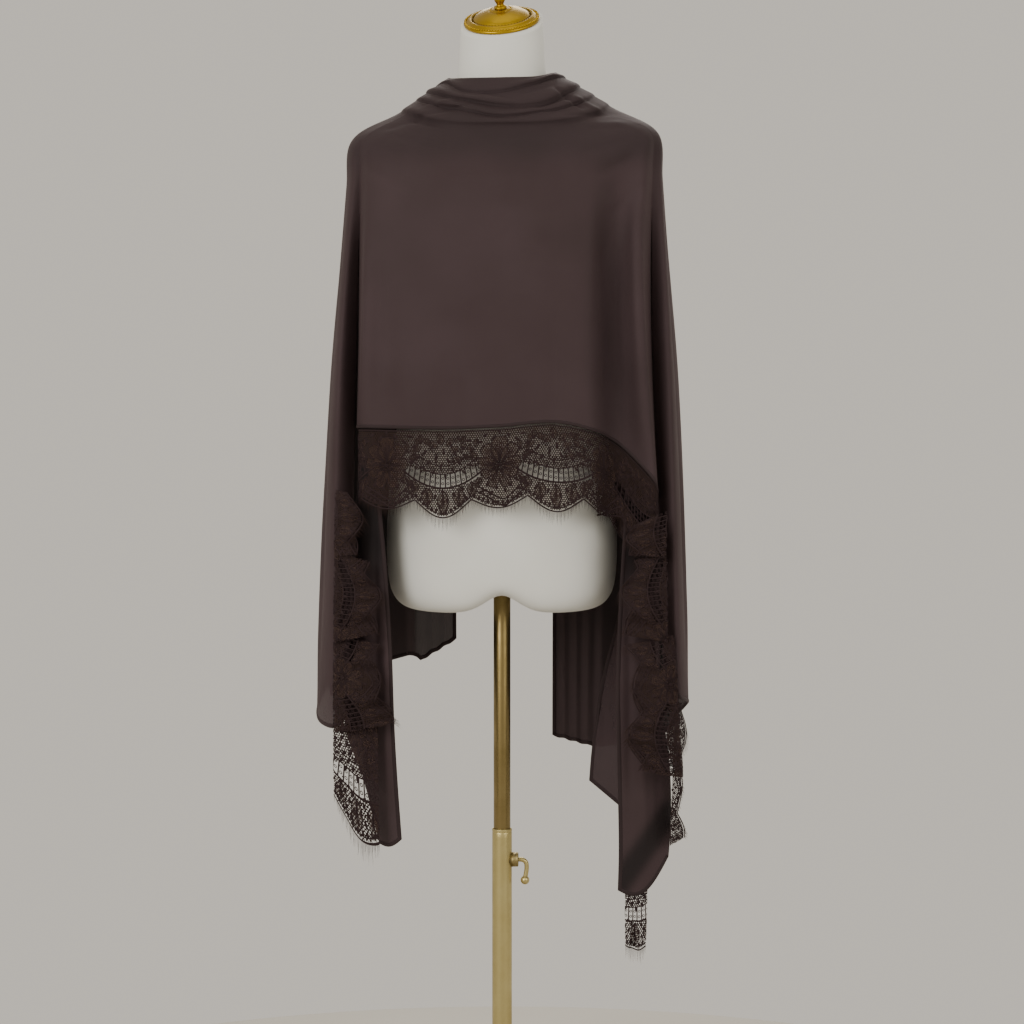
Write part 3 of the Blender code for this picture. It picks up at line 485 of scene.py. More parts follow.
# How far each gathered fold swells out, by angle round the neck, in metres. The folds run
# together and flatten where they cross the shoulders.
FOLD_ANGLES = [-135, -88, -48, 0, 46, 88, 135]
FOLD_SWELLS = [
    (0.0025, 0.001, 0.0024, 0.003, 0.0044, 0.0016, 0.003),
    (0.004, 0.0016, 0.0056, 0.0052, 0.006, 0.0018, 0.0036),
    (0.0032, 0.001, 0.004, 0.0046, 0.003, 0.0012, 0.002),
    (0.004, 0.001, 0.005, 0.0056, 0.0044, 0.0014, 0.0045),
]
FULL_SWELL = 0.006
print("gathered folds", len(FOLD_SWELLS))

# %% The gathered neck
NECK_ANGLES = [row.angle for row in NECK_POINTS]
NECK_EDGE = np.array(NECK_POINTS)[:, 1:4]
NECK_YOKE = np.array(NECK_POINTS)[:, 4:]
FOLD_ROWS = 10
CREST_POWER = 2.4
CREST_ROUNDING = 0.75
OVERHANG = 0.10
# Waves in how far the folds swell: their share of it, their pace and their shift by fold.
SWELL_WAVES = [(0.16, 4.1, 1.7), (0.12, 9.3, 2.9)]
# Between these angles the pinch of the troughs fades out.
PINCH_ANGLES = (50, 95)
# The edge turns in over the neck by this much and then down.
LIP_ROWS = 3
LIP_TURN = 0.003
LIP_DEPTH = 0.010


def neck_place(angle, share):
    """Points of the plain cone between the neck edge and the yoke line."""
    at = np.interp(angle, NECK_ANGLES, range(len(NECK_ANGLES)))
    edge = across_at(NECK_EDGE, at)
    yoke = across_at(NECK_YOKE, at)
    return edge + (yoke - edge) * np.asarray(share)[..., None]


def by_angle(values, stops, angles):
    """Values at angles round the neck, on a smooth curve through those at some stops."""
    return across_at(np.array(values), np.interp(angles, stops, range(len(stops))))


def neck_grid(angles):
    """Rows of points from inside the neck edge, over the folds, to the yoke line."""
    angles = np.asarray(angles, float)
    troughs = [by_angle(shares, TROUGH_ANGLES, angles) for shares in TROUGHS]
    pinch = TROUGH_PINCH * (1 - smoothstep(*PINCH_ANGLES, np.abs(angles)))
    whole = np.ones(len(angles))
    outward = unit(neck_place(angles, whole) - neck_place(angles, 0 * whole))
    rows = []
    for index, swells in enumerate(FOLD_SWELLS):
        depth = by_angle(swells, FOLD_ANGLES, angles)
        depth = depth * (1 + sum(size * np.sin(np.radians(pace * angles) + shift * index)
                                 for size, pace, shift in SWELL_WAVES))
        steps = range(FOLD_ROWS if index < len(FOLD_SWELLS) - 1 else FOLD_ROWS + 1)
        for step in steps:
            share = step / FOLD_ROWS
            lean = share + (OVERHANG * depth / FULL_SWELL * math.sin(math.pi * share)
                            * share ** 2 * 2)
            across = troughs[index] + (troughs[index + 1] - troughs[index]) * lean
            crest = max(math.sin(math.pi * share ** CREST_POWER), 0.0) ** CREST_ROUNDING
            height = (TROUGH_FLOORS[index] * (1 - share) + TROUGH_FLOORS[index + 1] * share
                      + depth * crest - pinch * (step == 0 and index > 0))
            along = neck_place(angles + 1.0, across) - neck_place(angles - 1.0, across)
            normal = unit(np.cross(along, outward))
            normal *= np.where(normal[:, 2:3] < 0, -1.0, 1.0)
            rows.append(neck_place(angles, across) + normal * height[:, None])
    lip = []
    top = rows[0]
    inward = np.concatenate([-unit(top[:, :2]), np.zeros((len(top), 1))], axis=1)
    for step in range(LIP_ROWS, 0, -1):
        turn = math.pi / 2 * step / LIP_ROWS
        drop = LIP_DEPTH * (step / LIP_ROWS) ** 2
        lip.append(top + inward * LIP_TURN * math.sin(turn) - np.array((0.0, 0.0, drop)))
    return np.array(lip + rows)


# %% [markdown]
# ## The lines down the cloth
#
# Every ridge and trough of a hanging cloth is a line that leaves the folds of the neck,
# turns over the shoulder and falls to the hem. The cloth could be sculpted, but a table of
# lines is easy to read and to change, and a ridge stays a ridge all the way down.

# %% The drape
# One row for each line down the cloth, along a ridge or a trough: where it leaves the
# yoke line (by angle round the neck), turns over the shoulder or bust, passes mid height,
# and ends at the hem.
DrapeLine = namedtuple(
    "DrapeLine", "angle turn_x turn_y turn_z mid_x mid_y mid_z hem_x hem_y hem_z")
FRONT_LINES = [DrapeLine(*row) for row in [
    (-62, -0.178, -0.07, 1.384, -0.18, -0.07, 1.22, -0.184, -0.062, 1.029),
    (-52, -0.162, -0.094, 1.372, -0.166, -0.117, 1.24, -0.175, -0.117, 1.029),
    (-38, -0.12, -0.118, 1.362, -0.124, -0.131, 1.24, -0.132, -0.128, 1.028),
    (-18, -0.058, -0.128, 1.355, -0.062, -0.137, 1.24, -0.066, -0.132, 1.027),
    (0, 0.002, -0.13, 1.352, 0.002, -0.138, 1.24, 0.002, -0.133, 1.03),
    (18, 0.06, -0.128, 1.355, 0.062, -0.137, 1.24, 0.062, -0.134, 1.035),
    (34, 0.108, -0.121, 1.364, 0.108, -0.13, 1.24, 0.11, -0.131, 1.026),
    (45, 0.146, -0.104, 1.376, 0.141, -0.094, 1.24, 0.147, -0.094, 1.008),
    (55, 0.18, -0.086, 1.388, 0.171, -0.113, 1.24, 0.19, -0.122, 0.962),
    (64, 0.192, -0.066, 1.396, 0.188, -0.07, 1.24, 0.1965, -0.08, 0.935),
]]
SIDE_LEFT_LINES = [DrapeLine(*row) for row in [
    (-63, -0.1794, -0.0686, 1.384, -0.1816, -0.0682, 1.22, -0.196, -0.066, 0.662),
    (-70, -0.186, -0.062, 1.385, -0.203, -0.098, 1.1, -0.21, -0.106, 0.652),
    (-80, -0.193, -0.04, 1.39, -0.216, -0.066, 1.08, -0.232, -0.07, 0.655),
    (-90, -0.196, -0.006, 1.393, -0.219, -0.016, 1.07, -0.238, -0.024, 0.668),
    (-100, -0.194, 0.03, 1.392, -0.214, 0.03, 1.06, -0.228, 0.022, 0.69),
    (-110, -0.19, 0.06, 1.39, -0.212, 0.078, 1.05, -0.226, 0.082, 0.672),
    (-120, -0.176, 0.09, 1.386, -0.186, 0.102, 1.05, -0.192, 0.104, 0.702),
    (-128, -0.158, 0.108, 1.384, -0.163, 0.128, 1.05, -0.158, 0.134, 0.712),
    (-134, -0.134, 0.11, 1.384, -0.134, 0.116, 1.05, -0.128, 0.118, 0.722),
]]
SIDE_RIGHT_LINES = [DrapeLine(*row) for row in [
    (65, 0.193, -0.065, 1.396, 0.1895, -0.0685, 1.24, 0.206, -0.072, 0.7),
    (72, 0.199, -0.05, 1.4, 0.21, -0.096, 1.1, 0.222, -0.106, 0.69),
    (80, 0.202, -0.03, 1.402, 0.221, -0.06, 1.08, 0.236, -0.066, 0.68),
    (90, 0.203, 0.0, 1.404, 0.226, -0.012, 1.07, 0.24, -0.02, 0.672),
    (100, 0.2, 0.032, 1.402, 0.22, 0.034, 1.06, 0.23, 0.028, 0.65),
    (110, 0.194, 0.062, 1.398, 0.216, 0.08, 1.05, 0.228, 0.086, 0.628),
    (120, 0.18, 0.092, 1.392, 0.188, 0.104, 1.05, 0.192, 0.106, 0.612),
    (128, 0.16, 0.11, 1.386, 0.164, 0.128, 1.05, 0.162, 0.134, 0.6),
    (134, 0.137, 0.112, 1.384, 0.136, 0.117, 1.05, 0.132, 0.12, 0.598),
]]
print("lines down the cloth", len(FRONT_LINES + SIDE_LEFT_LINES + SIDE_RIGHT_LINES))

# %% The lines down the cloth
# A line hangs straight from this share of the way between its turn and its middle.
FALL_SHARE = 0.16
# The rows are evenly spaced over the shoulder, for this length.
UPPER_LENGTH = 0.160
UPPER_ROWS = 30
# Below the shoulder two stretches with one border part over this length.
PART_LENGTH = 0.060


def drape_curve(line):
    """The places that a line down the cloth passes: just below its turn it hangs straight."""
    start = neck_place(np.array([float(line.angle)]), np.ones(1))[0]
    turn, middle, hem = np.array(line[1:]).reshape(3, 3)
    return np.array([start, turn, turn + (middle - turn) * FALL_SHARE, middle, hem])


def row_depths(points, lower_rows):
    """How far down a line its rows lie: evenly over the shoulder, then in shares to the hem."""
    rest = curve_length(points) - UPPER_LENGTH
    upper = UPPER_LENGTH * np.arange(UPPER_ROWS + 1) / UPPER_ROWS
    lower = UPPER_LENGTH + rest * np.arange(1, lower_rows + 1) / lower_rows
    return np.concatenate([upper, lower])


def hang_rows(points, lower_rows):
    """Points down a line, one for each row of the sheet."""
    return curve_at(points, row_depths(points, lower_rows) / curve_length(points))


def part_from(rows, shared, lower_rows, points):
    """Rows of a border line that follow a shared line over the shoulder and then part."""
    down = row_depths(points, lower_rows)[:, None]
    own = smoothstep(UPPER_LENGTH, UPPER_LENGTH + PART_LENGTH, down)
    same = rows + (shared[UPPER_ROWS] - rows[UPPER_ROWS])
    same[:UPPER_ROWS + 1] = shared[:UPPER_ROWS + 1]
    return same * (1 - own) + rows * own


# %% [markdown]
# ## The gathered back
#
# At the back each end hangs open with its plain edge in pleats. They are the folds of the
# neck on their way down, so each pleat starts at the crest of a fold. Their lines could be
# one more table, but they are regular enough to be worked out from a few sizes.

# %% The gathered back
# The gathered back of each end: its outer line and its plain edge, which the folds of the
# neck run down between. The two places are Y and Z at the turn and at mid height, and the
# last value is how far the folds stand out.
GatheredBack = namedtuple(
    "GatheredBack", "side outer_x edge_x outer_hem_x edge_hem_x outer_hem_z edge_hem_z")
BACKS = [
    GatheredBack(-1, 0.1312, 0.0650, 0.1265, 0.0625, 0.706, 0.745),
    GatheredBack(1, 0.1342, 0.0690, 0.1303, 0.0680, 0.597, 0.614),
]
BACK_TURN = (0.112, 1.382)
BACK_MIDDLE = (0.117, 1.050)
BACK_HEM_Y = 0.120
BACK_FOLD = 0.012
# How far each pleat stands out, as a share of a back fold's depth.
BACK_SHARES = [0.98, 1.10, 1.06, 1.12]
# How much of a back fold's depth is left at the hem.
HEM_RELAX = 0.25
CREST_ROW = 8


def back_curves(back, ends):
    """The lines down a gathered back, ridge and trough by turns and out to in, from the
    ends of the folds of the neck."""
    curves = []
    folds = len(FOLD_SWELLS)
    for half in range(2 * folds, -1, -1):
        index = min(half // 2, folds - 1)
        ridge = half % 2
        share = 1.0 - half / (2 * folds)
        depth = BACK_FOLD * ridge * BACK_SHARES[index]
        turn_x = back.side * (back.outer_x + (back.edge_x - back.outer_x) * share)
        hem_x = back.side * (back.outer_hem_x + (back.edge_hem_x - back.outer_hem_x) * share)
        hem_z = back.outer_hem_z + (back.edge_hem_z - back.outer_hem_z) * share
        turn = np.array((turn_x, BACK_TURN[0] + depth * 0.8, BACK_TURN[1]))
        middle = np.array(((turn_x + hem_x) / 2, BACK_MIDDLE[0] + 0.6 * depth, BACK_MIDDLE[1]))
        hem = np.array((hem_x, BACK_HEM_Y + HEM_RELAX * depth, hem_z - 0.002 * ridge))
        row = index * FOLD_ROWS + (CREST_ROW if ridge else FOLD_ROWS * (half // 2 - index))
        start = ends[row]
        curves.append(np.array([start, turn, turn + (middle - turn) * FALL_SHARE, middle, hem]))
    return curves


# %% [markdown]
# ## One sheet
#
# The front, the sides and the backs are grids of points. One grid could hold them all, but
# they need rows of different lengths. Each starts exactly on the border of the one beside
# it and doubled points are joined, so the shawl is one sheet, as the real one is.

# %% The grids of the sheet
FRONT_COLUMNS = 96
SIDE_COLUMNS = 56
FRONT_LOWER_ROWS = 44
SIDE_LOWER_ROWS = 84
FRONT_EDGES = (-62.5, 64.5)
# The back's pleats settle from the neck's folds over this length, and beyond this share of
# its columns it comes to meet the side.
SETTLE_LENGTH = 0.09
MEET_SHARE = 0.80


def draped(lines, columns, lower_rows, outer=None, inner=None):
    """Rows of points over a draped stretch, and the neck angle of each column. Outer and
    inner are the shared border lines that its first and last columns follow."""
    curves = [drape_curve(line) for line in lines]
    rows = np.array([hang_rows(curve, lower_rows) for curve in curves])
    if outer is not None:
        rows[0] = part_from(rows[0], outer, lower_rows, curves[0])
    if inner is not None:
        rows[-1] = part_from(rows[-1], inner, lower_rows, curves[-1])
    places = np.linspace(0, len(lines) - 1, columns + 1)
    angles = np.interp(places, range(len(lines)), [float(line.angle) for line in lines])
    return across_at(rows, places).transpose(1, 0, 2), angles


def joined_neck(angles, first_row):
    """The gathered neck over some columns, ending exactly on the drape's first row."""
    grid = neck_grid(angles)
    error = first_row - grid[-1]
    share = np.linspace(0, 1, len(grid)) ** 4
    return grid + error[None] * share[:, None, None]


# %% Put the sheet together
for lines, first_angle, last_angle in (
        (FRONT_LINES, *FRONT_EDGES), (SIDE_LEFT_LINES, FRONT_EDGES[0], -FOLD_END_ANGLE),
        (SIDE_RIGHT_LINES, FRONT_EDGES[1], FOLD_END_ANGLE)):
    lines[0] = lines[0]._replace(angle=first_angle)
    lines[-1] = lines[-1]._replace(angle=last_angle)

front_grid, front_angles = draped(FRONT_LINES, FRONT_COLUMNS, FRONT_LOWER_ROWS)
front_neck = joined_neck(front_angles, front_grid[0])
sheets = [(front_neck, False), (front_grid, False)]
side_grids = {}
back_grids = {}
for side, lines, border, back in (("left", SIDE_LEFT_LINES, front_grid[:, 0], BACKS[0]),
                                  ("right", SIDE_RIGHT_LINES, front_grid[:, -1], BACKS[1])):
    grid, angles = draped(lines, SIDE_COLUMNS, SIDE_LOWER_ROWS, outer=border)
    neck = joined_neck(angles, grid[0])
    neck[:, 0] = front_neck[:, 0 if side == "left" else -1]
    grid[0] = neck[-1]
    end_column = neck[LIP_ROWS:, -1]
    curves = back_curves(back, end_column)
    down = row_depths(drape_curve(lines[-1]), SIDE_LOWER_ROWS)
    rows = np.array([hang_rows(curve, SIDE_LOWER_ROWS) for curve in curves])
    steps = np.arange(len(FOLD_SWELLS) * FOLD_ROWS + 1) / FOLD_ROWS
    whole = np.minimum(np.floor(steps), len(FOLD_SWELLS) - 1)
    halves = 2 * whole + 2 * (steps - whole) ** CREST_POWER
    hung = across_at(rows, 2 * len(FOLD_SWELLS) - halves).transpose(1, 0, 2)
    settle = (1 - smoothstep(0.0, SETTLE_LENGTH, down))[:, None, None]
    hung = hung + (end_column - hung[0])[None] * settle
    near = smoothstep(MEET_SHARE, 1.0, np.linspace(0, 1, hung.shape[1]))[None, :, None]
    hung = hung + (grid[:, -1] - hung[:, -1])[:, None] * near
    side_grids[side] = grid
    back_grids[side] = hung
    sheets += [(neck, side == "left"), (grid, side == "left"), (hung, side == "right")]

shawl = grids_object("shawl", sheets)
print("shawl points", len(shawl.data.vertices), "faces", len(shawl.data.polygons))

# %% [markdown]
# ## The shawl's creases
#
# Pulled chiffon creases in soft lines from the neck towards the shoulders, and hanging
# chiffon in long flutes down to the hem. Sculpting them would be quick but hard to repeat,
# so each crease is one row under its side: two places, a width and a depth.

# %% The shawl's creases
SHAWL_CREASES = {"front": [
    (-0.118, 1.418, -0.03, 1.436, 0.003, -0.0022), (-0.104, 1.432, -0.048, 1.444, 0.0026, 0.0018),
    (-0.126, 1.424, -0.074, 1.404, 0.0034, -0.0024), (-0.138, 1.412, -0.06, 1.396, 0.004, 0.0018),
    (-0.062, 1.44, -0.02, 1.42, 0.0026, -0.0018), (-0.05, 1.428, 0.02, 1.414, 0.0024, 0.0014),
    (-0.034, 1.452, 0.03, 1.436, 0.0026, -0.0016), (0.02, 1.446, 0.074, 1.466, 0.0024, -0.002),
    (0.04, 1.428, 0.092, 1.45, 0.0028, -0.0024), (0.012, 1.412, 0.066, 1.424, 0.0024, 0.0016),
    (0.064, 1.462, 0.104, 1.43, 0.003, -0.003), (0.086, 1.452, 0.132, 1.426, 0.0034, 0.0022),
    (0.07, 1.418, 0.15, 1.43, 0.0036, -0.0026), (0.098, 1.408, 0.168, 1.414, 0.0044, 0.0018),
    (-0.156, 1.404, -0.092, 1.42, 0.0044, -0.002), (-0.15, 1.398, -0.06, 1.372, 0.004, -0.0016),
    (-0.165, 1.38, -0.085, 1.352, 0.005, -0.0014), (-0.172, 1.355, -0.11, 1.322, 0.006, -0.0012),
    (0.165, 1.392, 0.09, 1.368, 0.0045, -0.0016), (0.176, 1.372, 0.11, 1.34, 0.006, -0.0015),
    (0.182, 1.34, 0.135, 1.29, 0.007, -0.0016), (-0.04, 1.392, 0.06, 1.394, 0.0035, -0.0012),
    (-0.015, 1.386, 0.03, 1.391, 0.0018, -0.0009), (-0.09, 1.34, 0.08, 1.345, 0.009, -0.001),
    (-0.12, 1.3, 0.11, 1.304, 0.011, -0.0008), (-0.1, 1.262, 0.12, 1.256, 0.01, -0.0007),
    (0.02, 1.228, 0.11, 1.22, 0.006, 0.0007), (-0.125, 1.19, -0.118, 1.03, 0.01, -0.0022),
    (-0.085, 1.15, -0.09, 1.03, 0.012, 0.0018), (-0.048, 1.12, -0.044, 1.03, 0.009, -0.0016),
    (0.02, 1.13, 0.022, 1.03, 0.013, 0.0016), (0.062, 1.16, 0.064, 1.03, 0.01, -0.0018),
    (0.098, 1.2, 0.104, 1.03, 0.011, 0.002), (0.128, 1.32, 0.138, 1.0, 0.011, -0.006),
    (0.166, 1.33, 0.176, 0.98, 0.008, 0.004), (-0.17, 1.31, -0.172, 1.03, 0.007, 0.003),
    (-0.152, 1.27, -0.154, 1.04, 0.008, -0.003),
], "left": [
    (-0.052, 1.33, -0.062, 0.72, 0.009, -0.003), (-0.02, 1.25, -0.036, 0.7, 0.01, 0.0028),
    (0.01, 1.31, 0.004, 0.69, 0.011, -0.0034), (0.036, 1.18, 0.042, 0.7, 0.009, 0.0024),
    (0.06, 1.29, 0.064, 0.68, 0.01, -0.003), (-0.04, 0.98, -0.046, 0.67, 0.007, 0.002),
], "right": [
    (-0.048, 1.34, -0.056, 0.72, 0.009, -0.003), (-0.014, 1.27, -0.026, 0.68, 0.01, 0.0026),
    (0.018, 1.33, 0.012, 0.66, 0.011, -0.0036), (0.046, 1.2, 0.052, 0.65, 0.009, 0.0026),
    (0.07, 1.28, 0.078, 0.64, 0.01, -0.0028), (-0.034, 1.02, -0.04, 0.7, 0.007, 0.002),
], "back": [
    (-0.118, 1.33, -0.112, 0.76, 0.006, -0.002), (-0.088, 1.28, -0.086, 0.78, 0.006, 0.0018),
    (0.12, 1.33, 0.118, 0.65, 0.006, -0.002), (0.09, 1.27, 0.088, 0.66, 0.006, 0.0018),
]}
SHAWL_BEFORE = vertex_arrays(shawl.data)[0]
press_creases(shawl, SHAWL_CREASES)
SHAWL_AFTER = vertex_arrays(shawl.data)[0]
print("creases pressed", sum(map(len, SHAWL_CREASES.values())), "moving the cloth by up to",
      round(float(np.abs(SHAWL_AFTER - SHAWL_BEFORE).max()) * 1000, 1), "mm")

# %% [markdown]
# ## Sheer and painted shade
#
# One layer of chiffon lets light through, and a few layers look deep and solid. Modelling
# every hidden layer would cost much and show little, so each point of the sheet stores how
# sheer it looks and how much painted shade darkens it there, for layers and shadow, and the
# material reads both.

# %% Dress the shawl
# How much light passes where the cloth is doubled, and at its hanging ends.
DOUBLED_SHEER = 0.07
HANGING_SHEER = 0.22
# The heights between which it turns sheer, at the sides and at the back.
SHEER_HEIGHTS = (0.62, 0.78)
BACK_SHEER_HEIGHTS = (0.76, 0.90)
BACK_SHEER = 0.10
# Between these Y the back begins, and between these X its single layer.
BACK_BEGINS = (0.085, 0.105)
SINGLE_BEGINS = (-0.122, -0.114)
# Painted shade over the wound folds, which lie in several layers and shade each other.
WOUND_HEIGHTS = (1.340, 1.385)
WOUND_SHADE = 0.36


def hanging_sheer(places, upper, lower, heights):
    """How sheer the cloth looks: upper above the heights and lower below them."""
    return upper + (lower - upper) * (1 - smoothstep(*heights, places[:, 2]))


at_back = smoothstep(*BACK_BEGINS, SHAWL_AFTER[:, 1])
single = smoothstep(*SINGLE_BEGINS, SHAWL_AFTER[:, 0]) * (SHAWL_AFTER[:, 0] < 0)
side_sheer = hanging_sheer(SHAWL_AFTER, DOUBLED_SHEER, HANGING_SHEER, SHEER_HEIGHTS)
back_sheer = DOUBLED_SHEER + BACK_SHEER * single * (
    1 - smoothstep(*BACK_SHEER_HEIGHTS, SHAWL_AFTER[:, 2]))
store(shawl, "sheer", side_sheer * (1 - at_back) + back_sheer * at_back)
# Painted shade, darker over the wound folds of the neck.
store(shawl, "shade", WOUND_SHADE * smoothstep(*WOUND_HEIGHTS, SHAWL_AFTER[:, 2]))
shawl.data.materials.append(CHIFFON)
thicken(shawl, CHIFFON_WALL)
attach(shawl, "form")
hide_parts("neck_fold_1", "neck_fold_2", "neck_fold_3", "neck_fold_4",
            "front_panel", "side_left", "side_right", "back_left", "back_right")
print("the shawl takes the place of 9 nodes")

# %% [markdown]
# ## Hems and seam
#
# Every cut edge of the chiffon is rolled into a narrow hem, and a dark seam joins the lace
# to the front. A dark line in the material could mark them, but a rolled hem is a small
# tube of cloth, so it is made as one: a flat oval swept along the edge.

# %% Hem strips
HEM_SIDES = 8
HEM_LAP = 0.0004
SEAM_WIDTH = 0.0045


def hem_strip(name, edge, inner, width, follow):
    """A flat rolled strip along an edge, its middle half a width in from the edge. Follow
    takes both lines to where the creases moved them."""
    edge, inner = follow(edge), follow(inner)
    along = unit(np.gradient(edge, axis=0))
    inward = inner - edge
    inward = unit(inward - along * (inward * along).sum(axis=1, keepdims=True))
    out = np.cross(along, inward)
    middle = edge + inward * (width / 2 - HEM_LAP)
    turn = turn_angles(HEM_SIDES)
    thick = CHIFFON_WALL / 2 + HEM_SWELL
    ring = (middle[:, None] + inward[:, None] * np.cos(turn)[None, :, None] * width / 2
            + out[:, None] * np.sin(turn)[None, :, None] * thick)
    faces = ring_faces(len(edge), HEM_SIDES, flip=True)
    faces.append(tuple(range(HEM_SIDES)))
    last = (len(edge) - 1) * HEM_SIDES
    faces.append(tuple(last + side for side in reversed(range(HEM_SIDES))))
    item = mesh_object(name, ring.reshape(-1, 3), faces)
    item.data.materials.append(CHIFFON_HEM)
    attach(item, "form")
    return item


def follower(before, after):
    """A function that takes points of a sheet to where its creases moved them. Before and
    after are the places of the sheet's vertices."""
    tree = KDTree(len(before))
    for index, place in enumerate(before):
        tree.insert(Vector(place), index)
    tree.balance()

    def follow(points):
        return np.array([after[tree.find(Vector(point))[1]] for point in points])

    return follow


# %% The shawl's hems
follow_shawl = follower(SHAWL_BEFORE, SHAWL_AFTER)
hems = [hem_strip("front_seam", front_grid[-1], front_grid[-2], SEAM_WIDTH, follow_shawl)]
for side in ("left", "right"):
    grid = side_grids[side]
    hung = back_grids[side]
    for name, edge, inner in ((f"side_hem_{side}", grid[-1], grid[-2]),
                              (f"back_hem_{side}", hung[-1], hung[-2]),
                              (f"back_edge_{side}", hung[:, 0], hung[:, 1])):
        hems.append(hem_strip(name, edge, inner, HEM_WIDTH, follow_shawl))
print("hems and seam:", len(hems))

# %% [markdown]
# ## The inner layers
#
# Three inner layers of the chiffon hang behind the lace and under the right drape. They
# are narrow and nearly flat, so lines like the shawl's would be more than they need, and a
# table of levels is enough. Creases and hems are made as on the shawl.

# %% The hanging ends
# One row for each level of an inner layer that hangs behind the lace cascade. A level
# runs from its outer to its inner edge, bow is how far its middle swells forward, and dip
# how far it hangs down.
Level = namedtuple("Level", "outer_x outer_y outer_z inner_x inner_y inner_z bow dip",
                   defaults=(0.0,))
TAIL_LEFT = [Level(*row) for row in [
    (-0.18, -0.078, 1.026, -0.16, -0.09, 1.026, 0.0),
    (-0.183, -0.075, 0.94, -0.153, -0.092, 0.94, 0.006),
    (-0.186, -0.071, 0.85, -0.145, -0.094, 0.85, 0.008),
    (-0.195, -0.06, 0.75, -0.139, -0.094, 0.75, 0.008),
    (-0.2, -0.056, 0.65, -0.136, -0.092, 0.655, 0.008),
    (-0.176, -0.064, 0.58, -0.132, -0.09, 0.58, 0.006),
    (-0.156, -0.072, 0.5, -0.127, -0.088, 0.508, 0.003, 0.006),
]]
TAIL_RIGHT = [Level(*row) for row in [
    (0.188, -0.066, 0.93, 0.16, -0.088, 0.975, 0.0),
    (0.19, -0.065, 0.88, 0.154, -0.088, 0.9, 0.005),
    (0.194, -0.065, 0.79, 0.148, -0.088, 0.8, 0.008),
    (0.202, -0.064, 0.69, 0.145, -0.088, 0.7, 0.009),
    (0.214, -0.064, 0.6, 0.147, -0.084, 0.6, 0.009),
    (0.216, -0.062, 0.53, 0.149, -0.08, 0.5, 0.008, 0.008),
    (0.213, -0.064, 0.482, 0.148, -0.078, 0.441, 0.006, 0.024),
]]
UNDER_RIGHT = [Level(*row) for row in [
    (0.208, 0.05, 0.9, 0.176, 0.084, 0.9, 0.0),
    (0.208, 0.048, 0.8, 0.16, 0.092, 0.8, -0.004),
    (0.208, 0.044, 0.7, 0.136, 0.096, 0.7, -0.006),
    (0.202, 0.04, 0.6, 0.122, 0.094, 0.61, -0.006),
    (0.19, 0.038, 0.5, 0.117, 0.092, 0.556, -0.004),
]]
print("levels of the inner layers", len(TAIL_LEFT), len(TAIL_RIGHT), len(UNDER_RIGHT))

# %% The inner layers
# Above these heights a layer lies doubled in the hollow under the lobes: painted shadow.
SHADED_HEIGHTS = (0.79, 0.88)
HOLLOW_SHADE = 0.85
# The band of lace that is turned under the right end shows through along this line: its
# start, its end and its half width.
TURNED_UNDER = ((0.150, 0.450), (0.214, 0.540), 0.016)
TURNED_SHADE = 0.78
LAYER_ROWS = 14
LAYER_COLUMNS = 28
LAYER_CREASES = {"front": [
    (-0.176, 0.99, -0.172, 0.56, 0.006, 0.0024), (-0.16, 0.96, -0.158, 0.52, 0.005, -0.0026),
    (-0.147, 0.8, -0.144, 0.51, 0.004, 0.0022), (0.16, 0.9, 0.163, 0.47, 0.006, -0.0026),
    (0.176, 0.78, 0.182, 0.46, 0.0065, 0.0026), (0.196, 0.84, 0.2, 0.48, 0.006, -0.0024),
], "back": [
    (0.128, 0.86, 0.13, 0.56, 0.005, -0.0022), (0.15, 0.8, 0.154, 0.52, 0.006, 0.0022),
    (0.174, 0.86, 0.176, 0.5, 0.005, -0.0022),
]}


def level_grid(levels):
    """Points of an inner layer: down it in levels, and across from outer to inner."""
    table = np.array(levels)
    downs = np.arange(LAYER_ROWS * (len(levels) - 1) + 1) / LAYER_ROWS
    shares = np.linspace(0, 1, LAYER_COLUMNS + 1)
    left = across_at(table[:, :3], downs)[:, None]
    right = across_at(table[:, 3:6], downs)[:, None]
    grid = left + (right - left) * shares[None, :, None]
    swell = np.sin(math.pi * shares)[None]
    for axis, sizes in ((1, table[:, 6]), (2, table[:, 7])):
        grid[..., axis] -= np.interp(downs, range(len(levels)), sizes)[:, None] * swell
    return grid


def near_line(flat, start, end, width):
    """1 on the line from start to end, and less beside it."""
    start = np.array(start)
    run = np.array(end) - start
    along = np.clip((flat - start) @ run / (run @ run), 0.0, 1.0)
    away = np.linalg.norm(flat - start - along[:, None] * run, axis=1)
    return np.exp(-(away / width) ** 4)


